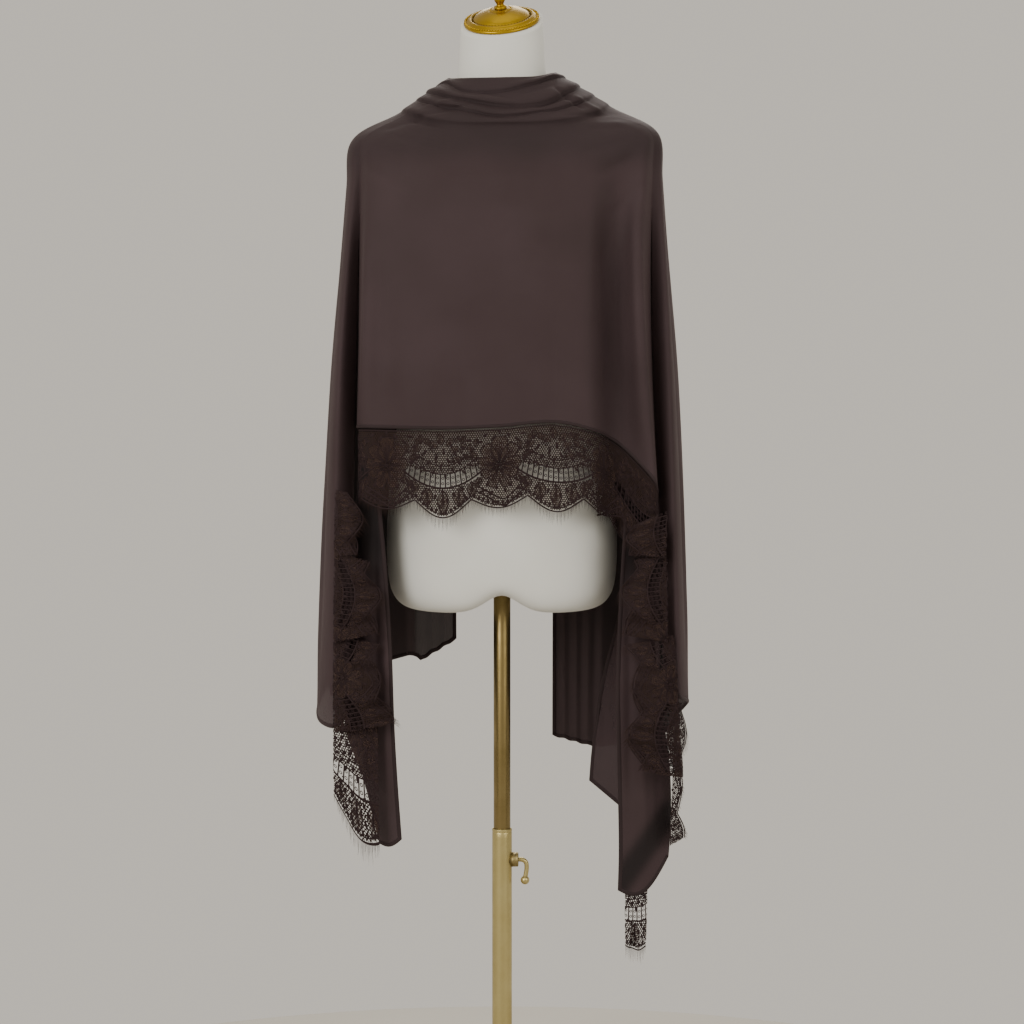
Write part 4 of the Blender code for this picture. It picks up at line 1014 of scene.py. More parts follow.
# %% Make the inner layers
# What each inner layer was cut to, in metres, how sheer its lower end looks, and
# the heights between which that begins.
LAYER_SHEER = 0.01
Layer = namedtuple("Layer", "name levels flip width length sheer heights")
LAYERS = [
    Layer("tail_left", TAIL_LEFT, False, 0.055, 0.520, 0.10, (0.50, 0.62)),
    Layer("tail_right", TAIL_RIGHT, True, 0.068, 0.500, 0.02, (0.50, 0.62)),
    Layer("under_right", UNDER_RIGHT, True, 0.085, 0.400, 0.12, (0.74, 0.86)),
]
for layer in LAYERS:
    grid = level_grid(layer.levels)
    item = grids_object(layer.name + "_cloth", [(grid, layer.flip)])
    before = vertex_arrays(item.data)[0]
    press_creases(item, LAYER_CREASES)
    after = vertex_arrays(item.data)[0]
    item.data.materials.append(CHIFFON)
    store(item, "sheer", hanging_sheer(after, LAYER_SHEER, layer.sheer, layer.heights))
    # Painted shadow in the hollow under the lobes.
    shade = HOLLOW_SHADE * smoothstep(*SHADED_HEIGHTS, after[:, 2])
    if layer.name == "tail_right":
        shade = np.maximum(shade, TURNED_SHADE * near_line(after[:, (0, 2)], *TURNED_UNDER))
    store(item, "shade", shade)
    thicken(item, CHIFFON_WALL)
    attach(item, "form")
    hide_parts(layer.name)
    follow = follower(before, after)
    trims = [hem_strip(layer.name + "_hem", grid[-1], grid[-2], HEM_WIDTH, follow),
             hem_strip(layer.name + "_edge", grid[:, -1], grid[:, -2], HEM_WIDTH, follow)]
print("inner layers:", len(LAYERS))

# %% [markdown]
# ## The lace
#
# The galloon is drawn flat, in metres along it and down from its seam, and then bent over
# each stretch that shows. Its ground is a net of twisted thread with six-sided holes. An
# image with clear holes could stand for it, but a net made as a mesh holds up close and
# casts real shadows. The cells are larger than real ones, so that they show at this size.

# %% The lines of the lace
# The width of a cell of the net and of its thread.
CELL = 0.0030
NET_THREAD = 0.0012
SWAG_LOW = 0.27
SWAG_RISE = 0.23
LADDER_HEIGHT = 0.13
SCALLOP_LINE = 0.80
SCALLOP_LARGE = 0.20
SCALLOP_SMALL = 0.11
LADDER_REACH = 0.32
# How round the swag's line and the scallops are, and how far the net stays inside them.
SWAG_ROUNDING = 0.8
SCALLOP_ROUNDING = 1.1
NET_INSET = 0.4 * CELL


def swag_depth(repeats):
    """The upper line of the row of bars, lowest midway between two flowers."""
    return LACE_DEPTH * (SWAG_LOW + SWAG_RISE * np.abs(np.sin(np.pi * repeats)) ** SWAG_ROUNDING)


def scallop_depth(repeats):
    """The scalloped edge: a large scallop between flowers and a small one under each."""
    wave = np.cos(2 * np.pi * repeats)
    size = np.where(wave < 0, SCALLOP_LARGE, SCALLOP_SMALL)
    return LACE_DEPTH * (SCALLOP_LINE + size * np.abs(wave) ** SCALLOP_ROUNDING)


def open_bars(repeats, depth):
    """True in the row of bars, which has no net."""
    top = swag_depth(repeats)
    beside = np.abs(repeats % 1.0 - 0.5) < LADDER_REACH
    return beside & (depth > top) & (depth < top + LADDER_HEIGHT * LACE_DEPTH)


# %% The net
def net_mesh(length, top, phase):
    """The threads of a net over a stretch of lace, flat: points (x, y, 0) and faces."""
    rise = CELL * math.sqrt(3) / 2
    rows = int(LACE_DEPTH / rise) + 2
    columns = int(length / CELL) + 2
    row, column = np.meshgrid(np.arange(rows), np.arange(columns), indexing="ij")
    x = (column + 0.5 * (row % 2)) * CELL
    y = row * rise
    repeats = phase + x / LACE_REPEAT
    kept = ((x <= length) & (y >= top) & (y <= scallop_depth(repeats) - NET_INSET)
            & ~open_bars(repeats, y))
    number = np.where(kept, np.cumsum(kept).reshape(kept.shape) - 1, -1)
    # Corner k of a hole points at 30 + 60 k degrees, and side k lies between k and k + 1.
    turn = np.radians(30 + 60 * np.arange(6))
    reach = CELL / math.sqrt(3) - NET_THREAD / math.sqrt(3)
    points = np.stack([x[kept][:, None] + reach * np.cos(turn),
                       y[kept][:, None] + reach * np.sin(turn)], axis=-1).reshape(-1, 2)

    def beside(down, even, odd):
        """The number of the cell beside each cell, which is one row down or not."""
        padded = np.full((rows + 2, columns + 2), -1)
        padded[1:-1, 1:-1] = number
        shift = np.where(row % 2 == 1, odd, even)
        return padded[row + 1 + down, column + 1 + shift]

    # The neighbours over sides 0, 1 and 5: down right, down left and right.
    down_right = beside(1, 0, 1)
    down_left = beside(1, -1, 0)
    right = beside(0, 1, 1)
    faces = []
    for neighbour, side in ((right, 5), (down_right, 0), (down_left, 1)):
        both = kept & (neighbour >= 0)
        own = 6 * number[both]
        other = 6 * neighbour[both]
        faces += np.stack([own + side, own + (side + 1) % 6, other + (side + 3) % 6,
                           other + (side + 4) % 6], axis=-1).tolist()
    for first, second, corner in ((right, down_right, 0), (down_right, down_left, 1)):
        all_three = kept & (first >= 0) & (second >= 0)
        faces += np.stack([6 * number[all_three] + corner, 6 * second[all_three] + (corner + 4) % 6,
                           6 * first[all_three] + (corner + 2) % 6], axis=-1).tolist()
    return np.concatenate([points, np.zeros((len(points), 1))], axis=1), faces


# %% [markdown]
# ## Raised motifs
#
# Motifs are worked over the net: a close fill of small stitches with a raised cord round
# it. Each one could be an object of its own, but there are thousands, so one class gathers
# the points of all of them into two meshes, and cuts off what lies outside a stretch.

# %% Raised motifs
THREAD = "thread"
FILL = "fill"
RIB_WIDTH = 0.0011
# A motif whose middle lies this far outside the stretch is still drawn.
MARGIN = 0.002
MM = 0.001


def eased_shares(steps):
    """Shares from 0 to 1 that lie closer together at both ends."""
    return (1 - np.cos(math.pi * np.linspace(0.0, 1.0, steps))) / 2


def placed(x, y, way, along, away):
    """Places by how far along and beside a direction from x and y they lie."""
    return (x + along * math.sin(way) + away * math.cos(way),
            y - along * math.cos(way) + away * math.sin(way))


class Motifs:
    """The worked shapes on a stretch of lace, flat: points (x, y, height) and faces, with
    the close fill apart from the raised thread."""

    def __init__(self, length, top, phase):
        self.length = length
        self.top = top
        self.phase = phase
        self.points = {THREAD: [], FILL: []}
        self.faces = {THREAD: [], FILL: []}

    def inside(self, x, y):
        """Whether a place shows on this stretch."""
        return -MARGIN < x < self.length + MARGIN and y > self.top - MARGIN

    def add(self, rows, slot=THREAD):
        """A grid of points as faces, kept within the stretch."""
        rows = np.asarray(rows, float)
        rows[..., 0] = np.clip(rows[..., 0], 0.0, self.length)
        rows[..., 1] = np.maximum(rows[..., 1], self.top)
        self.faces[slot] += grid_faces(rows.shape[0], rows.shape[1], len(self.points[slot]))
        self.points[slot] += list(rows.reshape(-1, 3))

    def leaf(self, x, y, turn, length, width, height, steps=7, across=5, point=0.8,
             rounding=0.25, slot=THREAD):
        """A domed leaf from its root. Turn 0 points up to the seam."""
        turn = math.radians(turn)
        if not self.inside(x + 0.5 * length * math.sin(turn), y - 0.5 * length * math.cos(turn)):
            return
        share = eased_shares(steps)[:, None]
        side = np.linspace(-1.0, 1.0, across)[None, :]
        half = width / 2 * np.sin(math.pi * share ** point * 0.985 + 0.02) ** (1 - rounding)
        along = length * share * np.cos(0.30 * side * (share ** 2))
        away = half * side
        dome = height * (0.25 + 0.75 * np.sqrt(np.maximum(1 - side ** 2, 0))) * (
            0.4 + 0.6 * np.sin(math.pi * share) ** 0.5)
        self.add(np.stack([*placed(x, y, turn, along, away), dome + 0 * along], axis=-1), slot)

    def worked_leaf(self, x, y, turn, length, width, ribs, rim, point=0.9):
        """A leaf of open fill with a cord round its rim and ribs fanned from its root."""
        self.leaf(x, y, turn, length, width, 0.0005, point=point, slot=FILL)
        for index in range(ribs):
            side = 2 * (index + 0.5) / ribs - 1
            lean = math.degrees(math.atan2(side * width * 0.30, length))
            self.leaf(x, y, turn + lean, length * (0.88 - 0.20 * side ** 2), RIB_WIDTH, 0.0011,
                      steps=5, across=3, point=1.2, rounding=0.6)
        share = eased_shares(8)
        half = width / 2 * np.sin(math.pi * share ** point * 0.985 + 0.02) ** 0.75
        along = length * np.concatenate([share, share[-2::-1]])
        away = np.concatenate([half, -half[-2::-1]])
        self.cord(zip(*placed(x, y, math.radians(turn), along, away)), rim)

    def worked_leaves(self, x, leaves, ribs, rim=0.0010):
        """A table of worked leaves, in millimetres from x and from the seam."""
        for leaf in leaves:
            self.worked_leaf(x + leaf.x * MM, leaf.y * MM, leaf.turn, leaf.length * MM,
                             leaf.width * MM, ribs, rim)

    def petal(self, x, y, turn, length, width, ribs, height=0.0013):
        """A petal of open fill, with ribs fanned from its root and a cord round its rim."""
        way = math.radians(turn)
        share = np.linspace(-1.0, 1.0, 15)
        reach = length * (1.0 - 0.16 * np.abs(share) ** 2.4 - 0.34 * np.abs(share) ** 8)
        away = width / 2 * np.sin(share * math.pi / 2)
        rim_x, rim_y = placed(x, y, way, reach, away)
        if not self.inside(x + 0.5 * length * math.sin(way), y - 0.5 * length * math.cos(way)):
            return
        down = np.linspace(0.06, 1.0, 5)[:, None]
        self.add(np.stack([x + (rim_x - x) * down, y + (rim_y - y) * down,
                           0.0006 * np.sin(math.pi * down) + 0 * rim_x], axis=-1), FILL)
        for index in range(ribs):
            side = 2 * (index + 0.5) / ribs - 1
            lean = math.degrees(math.atan2(side * width * 0.40, length))
            self.leaf(x, y, turn + lean, length * (0.90 - 0.13 * side ** 2), RIB_WIDTH * 1.3,
                      height, steps=6, across=3, point=1.6, rounding=0.55)
        self.cord(zip(rim_x, rim_y), 0.0014, height)

    def dot(self, x, y, radius, height=0.0012, sides=6):
        """A small raised bead."""
        if not self.inside(x, y):
            return
        turn = turn_angles(sides, closed=True)
        rows = []
        for share, lift in ((0.05, 1.0), (1.0, 0.2)):
            rows.append(np.stack([x + radius * share * np.cos(turn),
                                  y + radius * share * np.sin(turn),
                                  np.full(sides + 1, lift * height)], axis=-1))
        self.add(np.array(rows))

    def cord(self, line, width, height=0.0010):
        """A raised cord along a line of places."""
        shown = []
        for x, y in list(line) + [(None, None)]:
            if x is not None and self.inside(x, y):
                shown.append((x, y))
                continue
            if len(shown) > 1:
                self.run(np.array(shown), width, height)
            shown = []

    def run(self, line, width, height):
        """The part of a cord that shows."""
        along = unit(np.gradient(line, axis=0))
        out = np.stack([-along[:, 1], along[:, 0]], axis=-1)
        rows = []
        for share, lift in ((-1.0, 0.15), (-0.45, 0.95), (0.45, 0.95), (1.0, 0.15)):
            edge = line + out * share * width / 2
            rows.append(np.concatenate([edge, np.full((len(line), 1), lift * height)], axis=1))
        self.add(np.array(rows))

    def ring(self, x, y, radius, width, height=0.0008, sides=8):
        """A small ring."""
        if self.inside(x, y):
            turn = turn_angles(sides, closed=True)
            line = np.stack([x + radius * np.cos(turn), y + radius * np.sin(turn)], axis=-1)
            self.cord(line, width, height)


# %% [markdown]
# ## The design of the lace
#
# One repeat of the galloon has a flower, with sprays of leaves beside it and garlands under
# it, and a swag of cords, bubbles and bars that hangs between two flowers, with drops below
# and a crown of leaves above. Each motif could be drawn by its own lines of code, but
# tables of places let the design change without the code.

# %% The design
# Petals of the flower, leaves of the sprays and drops of the swag. Turn 0 points up to the
# seam. Places are in millimetres from the flower's middle, or from midway between flowers
# for the drops, the crown and the pockets, and down from the seam.
Petal = namedtuple("Petal", "turn length width")
PETALS = [Petal(*row) for row in [
    (0, 37, 21), (-38, 32, 17), (38, 32, 17), (-82, 27, 15), (82, 27, 15), (-122, 25, 13),
    (122, 25, 13), (-160, 30, 13), (160, 30, 13),
]]
FLOWER_DEPTH = 0.046
# One rib for each so many millimetres of a petal's width.
PETAL_RIB_PITCH = 4.2
HEART_RINGS = 12
HEART_SIZE = (0.0085, 0.0065)
# The two garlands under a flower, in millimetres from its middle and down from the seam,
# and the rings between them.
GARLANDS = [((-26, 73), (-14, 80), (4, 90), (16, 83), (33, 66)),
            ((-28, 79), (-14, 87), (5, 99), (18, 90), (38, 73))]
GARLAND_RINGS = 9
Leaf = namedtuple("Leaf", "x y turn length width")
DROPS = [Leaf(*row) for row in [
    (-38, 63, 176, 20, 14), (-20, 74, 178, 22, 14), (0, 77, 180, 30, 14), (20, 75, 182, 22, 15),
    (37, 67, 186, 18, 12), (46, 61, 196, 13, 9), (-47, 58, 162, 13, 9),
]]
SPRAY = [Leaf(*row) for row in [
    (29, 42, 30, 15, 8), (31, 36, 68, 12, 7), (33, 31, 10, 13, 7), (34, 26, 60, 12, 7),
    (36, 20, 20, 12, 6), (27, 26, -20, 11, 6), (-29, 40, -24, 15, 8), (-33, 36, -66, 12, 8),
    (-35, 30, -12, 13, 8), (-40, 24, -52, 12, 7), (-30, 22, 10, 12, 7), (-46, 36, -100, 13, 8),
]]
CROWN = [Leaf(*row) for row in [
    (-7, 22, -50, 15, 9), (-2, 18, -10, 15, 10), (5, 20, 35, 14, 9), (8, 25, 80, 13, 9),
    (14, 14, 60, 13, 7), (-14, 16, -70, 12, 8), (24, 16, 20, 10, 6), (-26, 15, -10, 10, 6),
]]
POCKETS = [Leaf(*row) for row in [
    (-17, 27, 0, 9, 9), (1, 31, 0, 10, 10), (19, 27, 0, 7, 7),
]]
# The swag's three cords: how low each hangs, how far it rises, its reach and its width.
Swag = namedtuple("Swag", "low rise reach width")
SWAGS = [Swag(0.0450, 0.0150, 0.031, 0.0014), Swag(0.0555, 0.0200, 0.041, 0.0016),
         Swag(0.0735, 0.0225, 0.050, 0.0024)]
BAR_PITCH = 0.0060
BUBBLE_PITCH = 0.0044
BEAD_PITCH = 0.0043
BEAD_RADIUS = 0.0011
SWAG_BEADS = 23
BORDER_PITCH = 0.0062
SMALL_BEAD = 0.0009
print("motifs in a repeat", len(PETALS), "petals and", len(DROPS + SPRAY + CROWN), "leaves")

# %% Leaves between the motifs and along the edge
# How many small leaves are strewn over the net of a repeat. The ends that hang free are
# worked closer.
STREWN_LEAVES = 100
HANGING_LEAVES = 210
HANGING_LACE = ("lace_left_tail", "lace_right_tail", "lace_right_side")
# The golden ratio and the golden angle spread the leaves evenly, with no random draw.
GOLDEN = 0.6180
GOLDEN_ANGLE = 137.5
STREWN_TOP = 0.006
STREWN_DEPTH = 0.094
# How far they stay from the scalloped edge and from the middle of a flower.
EDGE_CLEAR = 0.012
FLOWER_CLEAR = 0.030


def strew_leaves(motifs, x, leaves):
    """Small leaves and beads over one repeat of the net, clear of the bars."""
    for index in range(leaves):
        share = (index * GOLDEN) % 1.0
        dx = (share - 0.5) * LACE_REPEAT
        depth = STREWN_TOP + STREWN_DEPTH * ((index + 0.5) / leaves)
        repeats = 0.5 + dx / LACE_REPEAT
        if open_bars(repeats, depth) or depth > scallop_depth(repeats) - EDGE_CLEAR:
            continue
        if math.hypot(abs(dx) - LACE_REPEAT / 2, depth - FLOWER_DEPTH) < FLOWER_CLEAR:
            continue
        motifs.leaf(x + dx, depth, GOLDEN_ANGLE * index, 0.0080, 0.0036, 0.0010, steps=5,
                    across=3)
        motifs.dot(x + dx + 0.004 * math.cos(index), depth + 0.004 * math.sin(index), SMALL_BEAD)


def draw_border(motifs, edge):
    """A border of small leaves and beads just inside the scalloped edge."""
    runs = run_lengths(edge)
    for index in range(int(runs[-1] / BORDER_PITCH)):
        at = (index + 0.5) * BORDER_PITCH
        x, y = along_line(edge, runs, at)
        motifs.leaf(x, y - 0.0105, 180, 0.0062, 0.0034, 0.0010, steps=5, across=3)
        motifs.dot(x + BORDER_PITCH / 2, y - 0.0072, SMALL_BEAD)


# %% The flower
def draw_flower(motifs, x):
    """A flower with a beaded heart, and the sprays of leaves beside it."""
    y = FLOWER_DEPTH
    for petal in PETALS:
        motifs.petal(x, y, petal.turn, petal.length * MM, petal.width * MM,
                     max(3, round(petal.width / PETAL_RIB_PITCH)))
    for turn in turn_angles(HEART_RINGS):
        motifs.ring(x + HEART_SIZE[0] * math.cos(turn), y + HEART_SIZE[1] * math.sin(turn),
                    0.0010, 0.0012, 0.0022)
    motifs.ring(x, y, 0.0014, 0.0024, 0.0026)
    motifs.worked_leaves(x, SPRAY, 1)
    for line in GARLANDS:
        places = np.array(line) * MM
        smooth = across_at(places, np.linspace(0, len(places) - 1, 33))
        motifs.cord(smooth + np.array((x, 0.0)), 0.0022, 0.0012)
    for index in range(GARLAND_RINGS):
        share = (index + 0.5) / GARLAND_RINGS
        drop = 0.078 + 0.0165 * math.sin(math.pi * share) ** 1.5
        motifs.ring(x - 0.024 + 0.056 * share, drop, 0.0013, 0.0010)


# %% The swag
def swag_at(swag, dx):
    """How far down a swag's cord lies beside its middle."""
    return swag.low - swag.rise * (dx / swag.reach) ** 2


def draw_swag(motifs, x):
    """The swag between two flowers: cords, bubbles, bars, drops and leaves over it."""
    for swag in SWAGS:
        dx = np.linspace(-swag.reach, swag.reach, 41)
        motifs.cord(np.stack([x + dx, swag_at(swag, dx)], axis=-1), swag.width)
    count = int(2 * SWAGS[0].reach / BUBBLE_PITCH)
    for index in range(count + 3):
        dx = (index - (count + 2) / 2) * BUBBLE_PITCH
        middle = (swag_at(SWAGS[0], dx) + swag_at(SWAGS[1], dx)) / 2
        motifs.ring(x + dx, middle, 0.0019, 0.0009)
    count = int(2 * SWAGS[1].reach / BAR_PITCH)
    for index in range(count + 1):
        dx = (index - count / 2) * BAR_PITCH
        high = swag_at(SWAGS[1], dx)
        low = swag_at(SWAGS[2], dx * 1.10)
        motifs.cord([(x + dx + (0.10 * dx) * share, high + (low - high) * share)
                     for share in (0.0, 0.35, 0.7, 1.0)], 0.0017)
        motifs.ring(x + dx * 1.05 + BAR_PITCH / 2, high + (low - high) * 0.30, 0.0014, 0.0009)
        motifs.ring(x + dx * 1.07 + BAR_PITCH / 2, high + (low - high) * 0.68, 0.0015, 0.0009)
    motifs.worked_leaves(x, DROPS, 4, 0.0013)
    motifs.worked_leaves(x, CROWN, 1)
    for index in range(SWAG_BEADS):
        dx = (index - SWAG_BEADS // 2) * BEAD_PITCH
        motifs.dot(x + dx, swag_at(SWAGS[2], dx) + 0.0042, BEAD_RADIUS)
        motifs.dot(x + dx, swag_at(SWAGS[0], dx) - 0.0034, BEAD_RADIUS)
    for pocket in POCKETS:
        for index in range(7):
            turn = math.pi * (0.9 + 1.2 * index / 6)
            motifs.ring(x + (pocket.x + pocket.width * math.cos(turn)) * MM,
                        (pocket.y + 6 + pocket.length * math.sin(turn)) * MM, 0.0014, 0.0012)


# %% A whole stretch of lace
def edge_line(length, phase, step=0.0015):
    """The scalloped edge of a stretch, flat."""
    x = np.linspace(0.0, length, int(length / step) + 2)
    return np.stack([x, scallop_depth(phase + x / LACE_REPEAT)], axis=-1)


def draw_lace(length, top, phase, leaves):
    """All the worked motifs of a stretch."""
    motifs = Motifs(length, top, phase)
    first = math.floor(phase) - 1
    last = math.ceil(phase + length / LACE_REPEAT) + 1
    for repeat in range(first, last + 1):
        draw_flower(motifs, (repeat - phase) * LACE_REPEAT)
        draw_swag(motifs, (repeat + 0.5 - phase) * LACE_REPEAT)
        strew_leaves(motifs, (repeat + 0.5 - phase) * LACE_REPEAT, leaves)
    edge = edge_line(length, phase)
    draw_border(motifs, edge)
    motifs.cord(edge - np.array((0.0, 0.0006)), 0.0019)
    motifs.cord(edge - np.array((0.0, 0.0050)), 0.0012)
    if top <= 0.0:
        ends = np.linspace(0.0, length, int(length / 0.002) + 2)
        motifs.cord(np.stack([ends, 0 * ends + 0.0008], axis=-1), 0.0022)
    return motifs


# %% [markdown]
# ## Where the lace hangs
#
# On the front the lace hangs from the hem. At both sides the folded edge of the shawl
# falls in a cascade, where each fold turns a lobe of lace to the front. A curve or lattice
# modifier could bend the flat lace, but a function that turns a place on it into a place in
# space keeps the seam exactly on the hem.

# %% The lace
# One row for each stretch of the lace. Its four corners run along the seam from first to
# last, and along the scalloped edge. Bow swells its middle forward, flare brings its last
# end out over the next stretch, and sway waves it.
LaceStretch = namedtuple(
    "LaceStretch", "name seam_a seam_b edge_a edge_b bow flare sway length phase")
LACE_STRETCHES = [LaceStretch(*row) for row in [
    ("lace_left_1", (-0.208, -0.111, 0.952), (-0.2095, -0.111, 0.868), (-0.176, -0.112, 0.944),
     (-0.17, -0.112, 0.872), 0.012, 0.012, 0.003, 0.09, 0.25),
    ("lace_left_2", (-0.2095, -0.111, 0.876), (-0.2105, -0.111, 0.76), (-0.156, -0.108, 0.858),
     (-0.146, -0.108, 0.774), 0.018, 0.014, 0.005, 0.122, 0.1),
    ("lace_left_3", (-0.2105, -0.111, 0.77), (-0.2115, -0.111, 0.646), (-0.15, -0.106, 0.757),
     (-0.135, -0.104, 0.658), 0.018, 0.014, 0.005, 0.13, 0.6),
    ("lace_left_tail", (-0.2115, -0.1095, 0.668), (-0.156, -0.104, 0.668), (-0.211, -0.106, 0.552),
     (-0.153, -0.1, 0.478), 0.004, 0.0, 0.003, 0.056, 0.3),
    ("lace_right_1", (0.206, -0.13, 0.926), (0.2055, -0.122, 0.868), (0.16, -0.126, 0.905),
     (0.148, -0.116, 0.87), 0.01, 0.01, 0.003, 0.064, 0.35),
    ("lace_right_2", (0.207, -0.118, 0.876), (0.208, -0.116, 0.76), (0.154, -0.112, 0.86),
     (0.144, -0.11, 0.772), 0.016, 0.014, 0.005, 0.122, 0.15),
    ("lace_right_3", (0.216, -0.116, 0.77), (0.228, -0.113, 0.59), (0.154, -0.11, 0.757),
     (0.16, -0.106, 0.602), 0.018, 0.014, 0.005, 0.186, 0.55),
    ("lace_right_side", (0.218, -0.101, 0.686), (0.212, -0.09, 0.5), (0.2355, -0.0655, 0.677),
     (0.234, -0.058, 0.505), 0.002, 0.0, 0.002, 0.188, 0.2),
    ("lace_right_tail", (0.157, -0.0745, 0.443), (0.186, -0.069, 0.448), (0.1575, -0.074, 0.366),
     (0.184, -0.069, 0.36), 0.006, 0.0, 0.003, 0.032, 0.4),
    ("lace_right_under", (0.118, -0.088, 1.002), (0.158, -0.078, 0.972), (0.12, -0.088, 0.905),
     (0.154, -0.078, 0.888), 0.003, 0.0, 0.002, 0.054, 0.1),
]]
print("stretches beside the front", len(LACE_STRETCHES))

# %% The lace on the front
# The shares of the hem between which the lace shows, and where in its repeat it starts.
LACE_FRONT_SPAN = (0.090, 0.985)
LACE_FRONT_PHASE = 0.688
FRONT_LACE_HANG = 0.965 * LACE_DEPTH
SEAM_DROP = 0.0022
RIPPLE_LENGTH = 0.028
RIPPLE_DEPTH = 0.0026
front_columns = np.linspace(*LACE_FRONT_SPAN, 161)
whole_hem = follow_shawl(front_grid[-1])
hem_shares = np.linspace(0, 1, len(whole_hem))
front_hem = along_line(whole_hem, hem_shares, front_columns)
hem_runs = run_lengths(front_hem)
LACE_FRONT_LENGTH = float(hem_runs[-1])
print("lace on the front hem:", round(LACE_FRONT_LENGTH * 1000), "mm")


def front_lace(x, y):
    """Points of the lace under the front hem: x along it and y down it."""
    along = x / LACE_FRONT_LENGTH
    top = along_line(front_hem, hem_runs, x)
    across = y / LACE_DEPTH
    top[..., 1] += 0.004 * np.sin(7 * np.pi * along) * across + 0.006 * across
    top[..., 2] -= SEAM_DROP + FRONT_LACE_HANG * across
    return top


# %% The lace of the cascades
def stretch_place(stretch, along, across):
    """Points of a stretch of the lace, by shares along its seam and across it."""
    along = along[..., None]
    across = across[..., None]
    seam = np.array(stretch.seam_a) * (1 - along) + np.array(stretch.seam_b) * along
    edge = np.array(stretch.edge_a) * (1 - along) + np.array(stretch.edge_b) * along
    place = seam * (1 - across) + edge * across
    along = along[..., 0]
    across = across[..., 0]
    place[..., 1] -= stretch.bow * np.sin(np.pi * across) * (0.55 + 0.45 * np.sin(np.pi * along))
    place[..., 1] -= stretch.sway * np.sin(4 * np.pi * along) * across
    place[..., 1] -= stretch.flare * (along - 0.5) * (0.4 + 0.6 * across)
    ripple = np.sin(2 * np.pi * along * stretch.length / RIPPLE_LENGTH + 2.1 * across)
    place[..., 1] -= RIPPLE_DEPTH * ripple * across
    return place


def lace_width(stretch):
    """How far it is round a stretch of lace from its seam to its edge, midway."""
    across = np.linspace(0, 1, 17)
    return curve_length(stretch_place(stretch, np.full(17, 0.5), across))


# %% Bend flat lace
# The step over which the lace's slope is measured, and how far it lies off its own line.
SLOPE_STEP = 0.0005
LACE_LIFT = 0.0001


def bent(place, points):
    """Flat lace points (x, y, height) on the stretch that place gives."""
    x, y, height = points[:, 0], points[:, 1], points[:, 2]
    normal = unit(np.cross(place(x + SLOPE_STEP, y) - place(x - SLOPE_STEP, y),
                           place(x, y + SLOPE_STEP) - place(x, y - SLOPE_STEP)))
    # The raised side faces the front, which is -Y.
    normal *= -np.sign(normal[:, 1:2].mean() + 1e-9)
    return place(x, y) + normal * (height + LACE_LIFT)[:, None]


# %% [markdown]
# ## The eyelash fringe
#
# The edge of eyelash lace is finished with short loose threads, longer at the points of
# the scallops. Blender's hair could grow them, but it isn't a mesh and would be missing
# from an exported model, so each lash is a narrow strip of two faces.

# %% Eyelashes
LASH_PITCH = 0.0009
LASH_LENGTH = 0.0105
LASH_WIDTH = 0.00045
# A strand that starts out sideways falls in by this share, and droops by this share.
LASH_SLACK = 0.35
LASH_DROOP = 0.60


def lash_mesh(place, length, phase):
    """Eyelash strands along the scalloped edge, longer and closer at its points."""
    edge = edge_line(length, phase, 0.0004)
    runs = run_lengths(edge)
    points = []
    faces = []
    count = int(runs[-1] / LASH_PITCH)
    for index in range(count):
        at = (index + 0.5 + 0.35 * math.sin(12.9 * index)) / count * runs[-1]
        x, y = along_line(edge, runs, at)
        tip = float(smoothstep(0.86, 1.0, y / LACE_DEPTH))
        reach = LASH_LENGTH * (0.62 + 0.30 * math.sin(7.3 * index) + 0.12 * math.sin(31.0 * index)
                               + 0.65 * tip)
        lean = 0.0020 * math.sin(5.1 * index) + 0.0012 * math.sin(17.0 * index + 1.0)
        lift = 0.0010 * math.sin(9.7 * index)
        for share, width in ((0.0, 1.0), (0.45, 0.85), (1.0, 0.25)):
            bend = lean * share ** 1.6
            for side in (-0.5, 0.5):
                points.append((min(max(x + bend + side * LASH_WIDTH * width, 0.0), length),
                               y - 0.001 + (reach + 0.001) * share, lift * share + 0.0001))
        first = 6 * index
        faces += [(near, near + 2, near + 3, near + 1) for near in (first, first + 2)]
    strands = bent(place, np.array(points)).reshape(-1, 6, 3)
    sideways = np.linalg.norm(strands[:, :, :2] - strands[:, :1, :2], axis=2)
    strands[:, :, :2] += (strands[:, :1, :2] - strands[:, :, :2]) * LASH_SLACK
    strands[:, :, 2] -= LASH_DROOP * sideways
    return strands.reshape(-1, 3), faces


# %% [markdown]
# ## Sewing the lace
#
# Each stretch is the galloon with its net and fill, the raised thread on it and, where they
# show, its eyelashes. They could be one mesh, but apart each can have its own thread. Six
# lobes of the cascades turn back behind themselves, so they have a second layer. The flat
# size of each stretch is measured on the bent lace and stated as a sheet's cut.

# %% Sew a stretch
def face_areas(points, faces):
    """The area of flat faces of three or four corners, summed."""
    corners = points[np.array([face if len(face) == 4 else (*face, face[-1]) for face in faces])]
    first = corners[:, 2] - corners[:, 0]
    second = corners[:, 3] - corners[:, 1]
    return float(np.abs(first[:, 0] * second[:, 1] - first[:, 1] * second[:, 0]).sum() / 2)


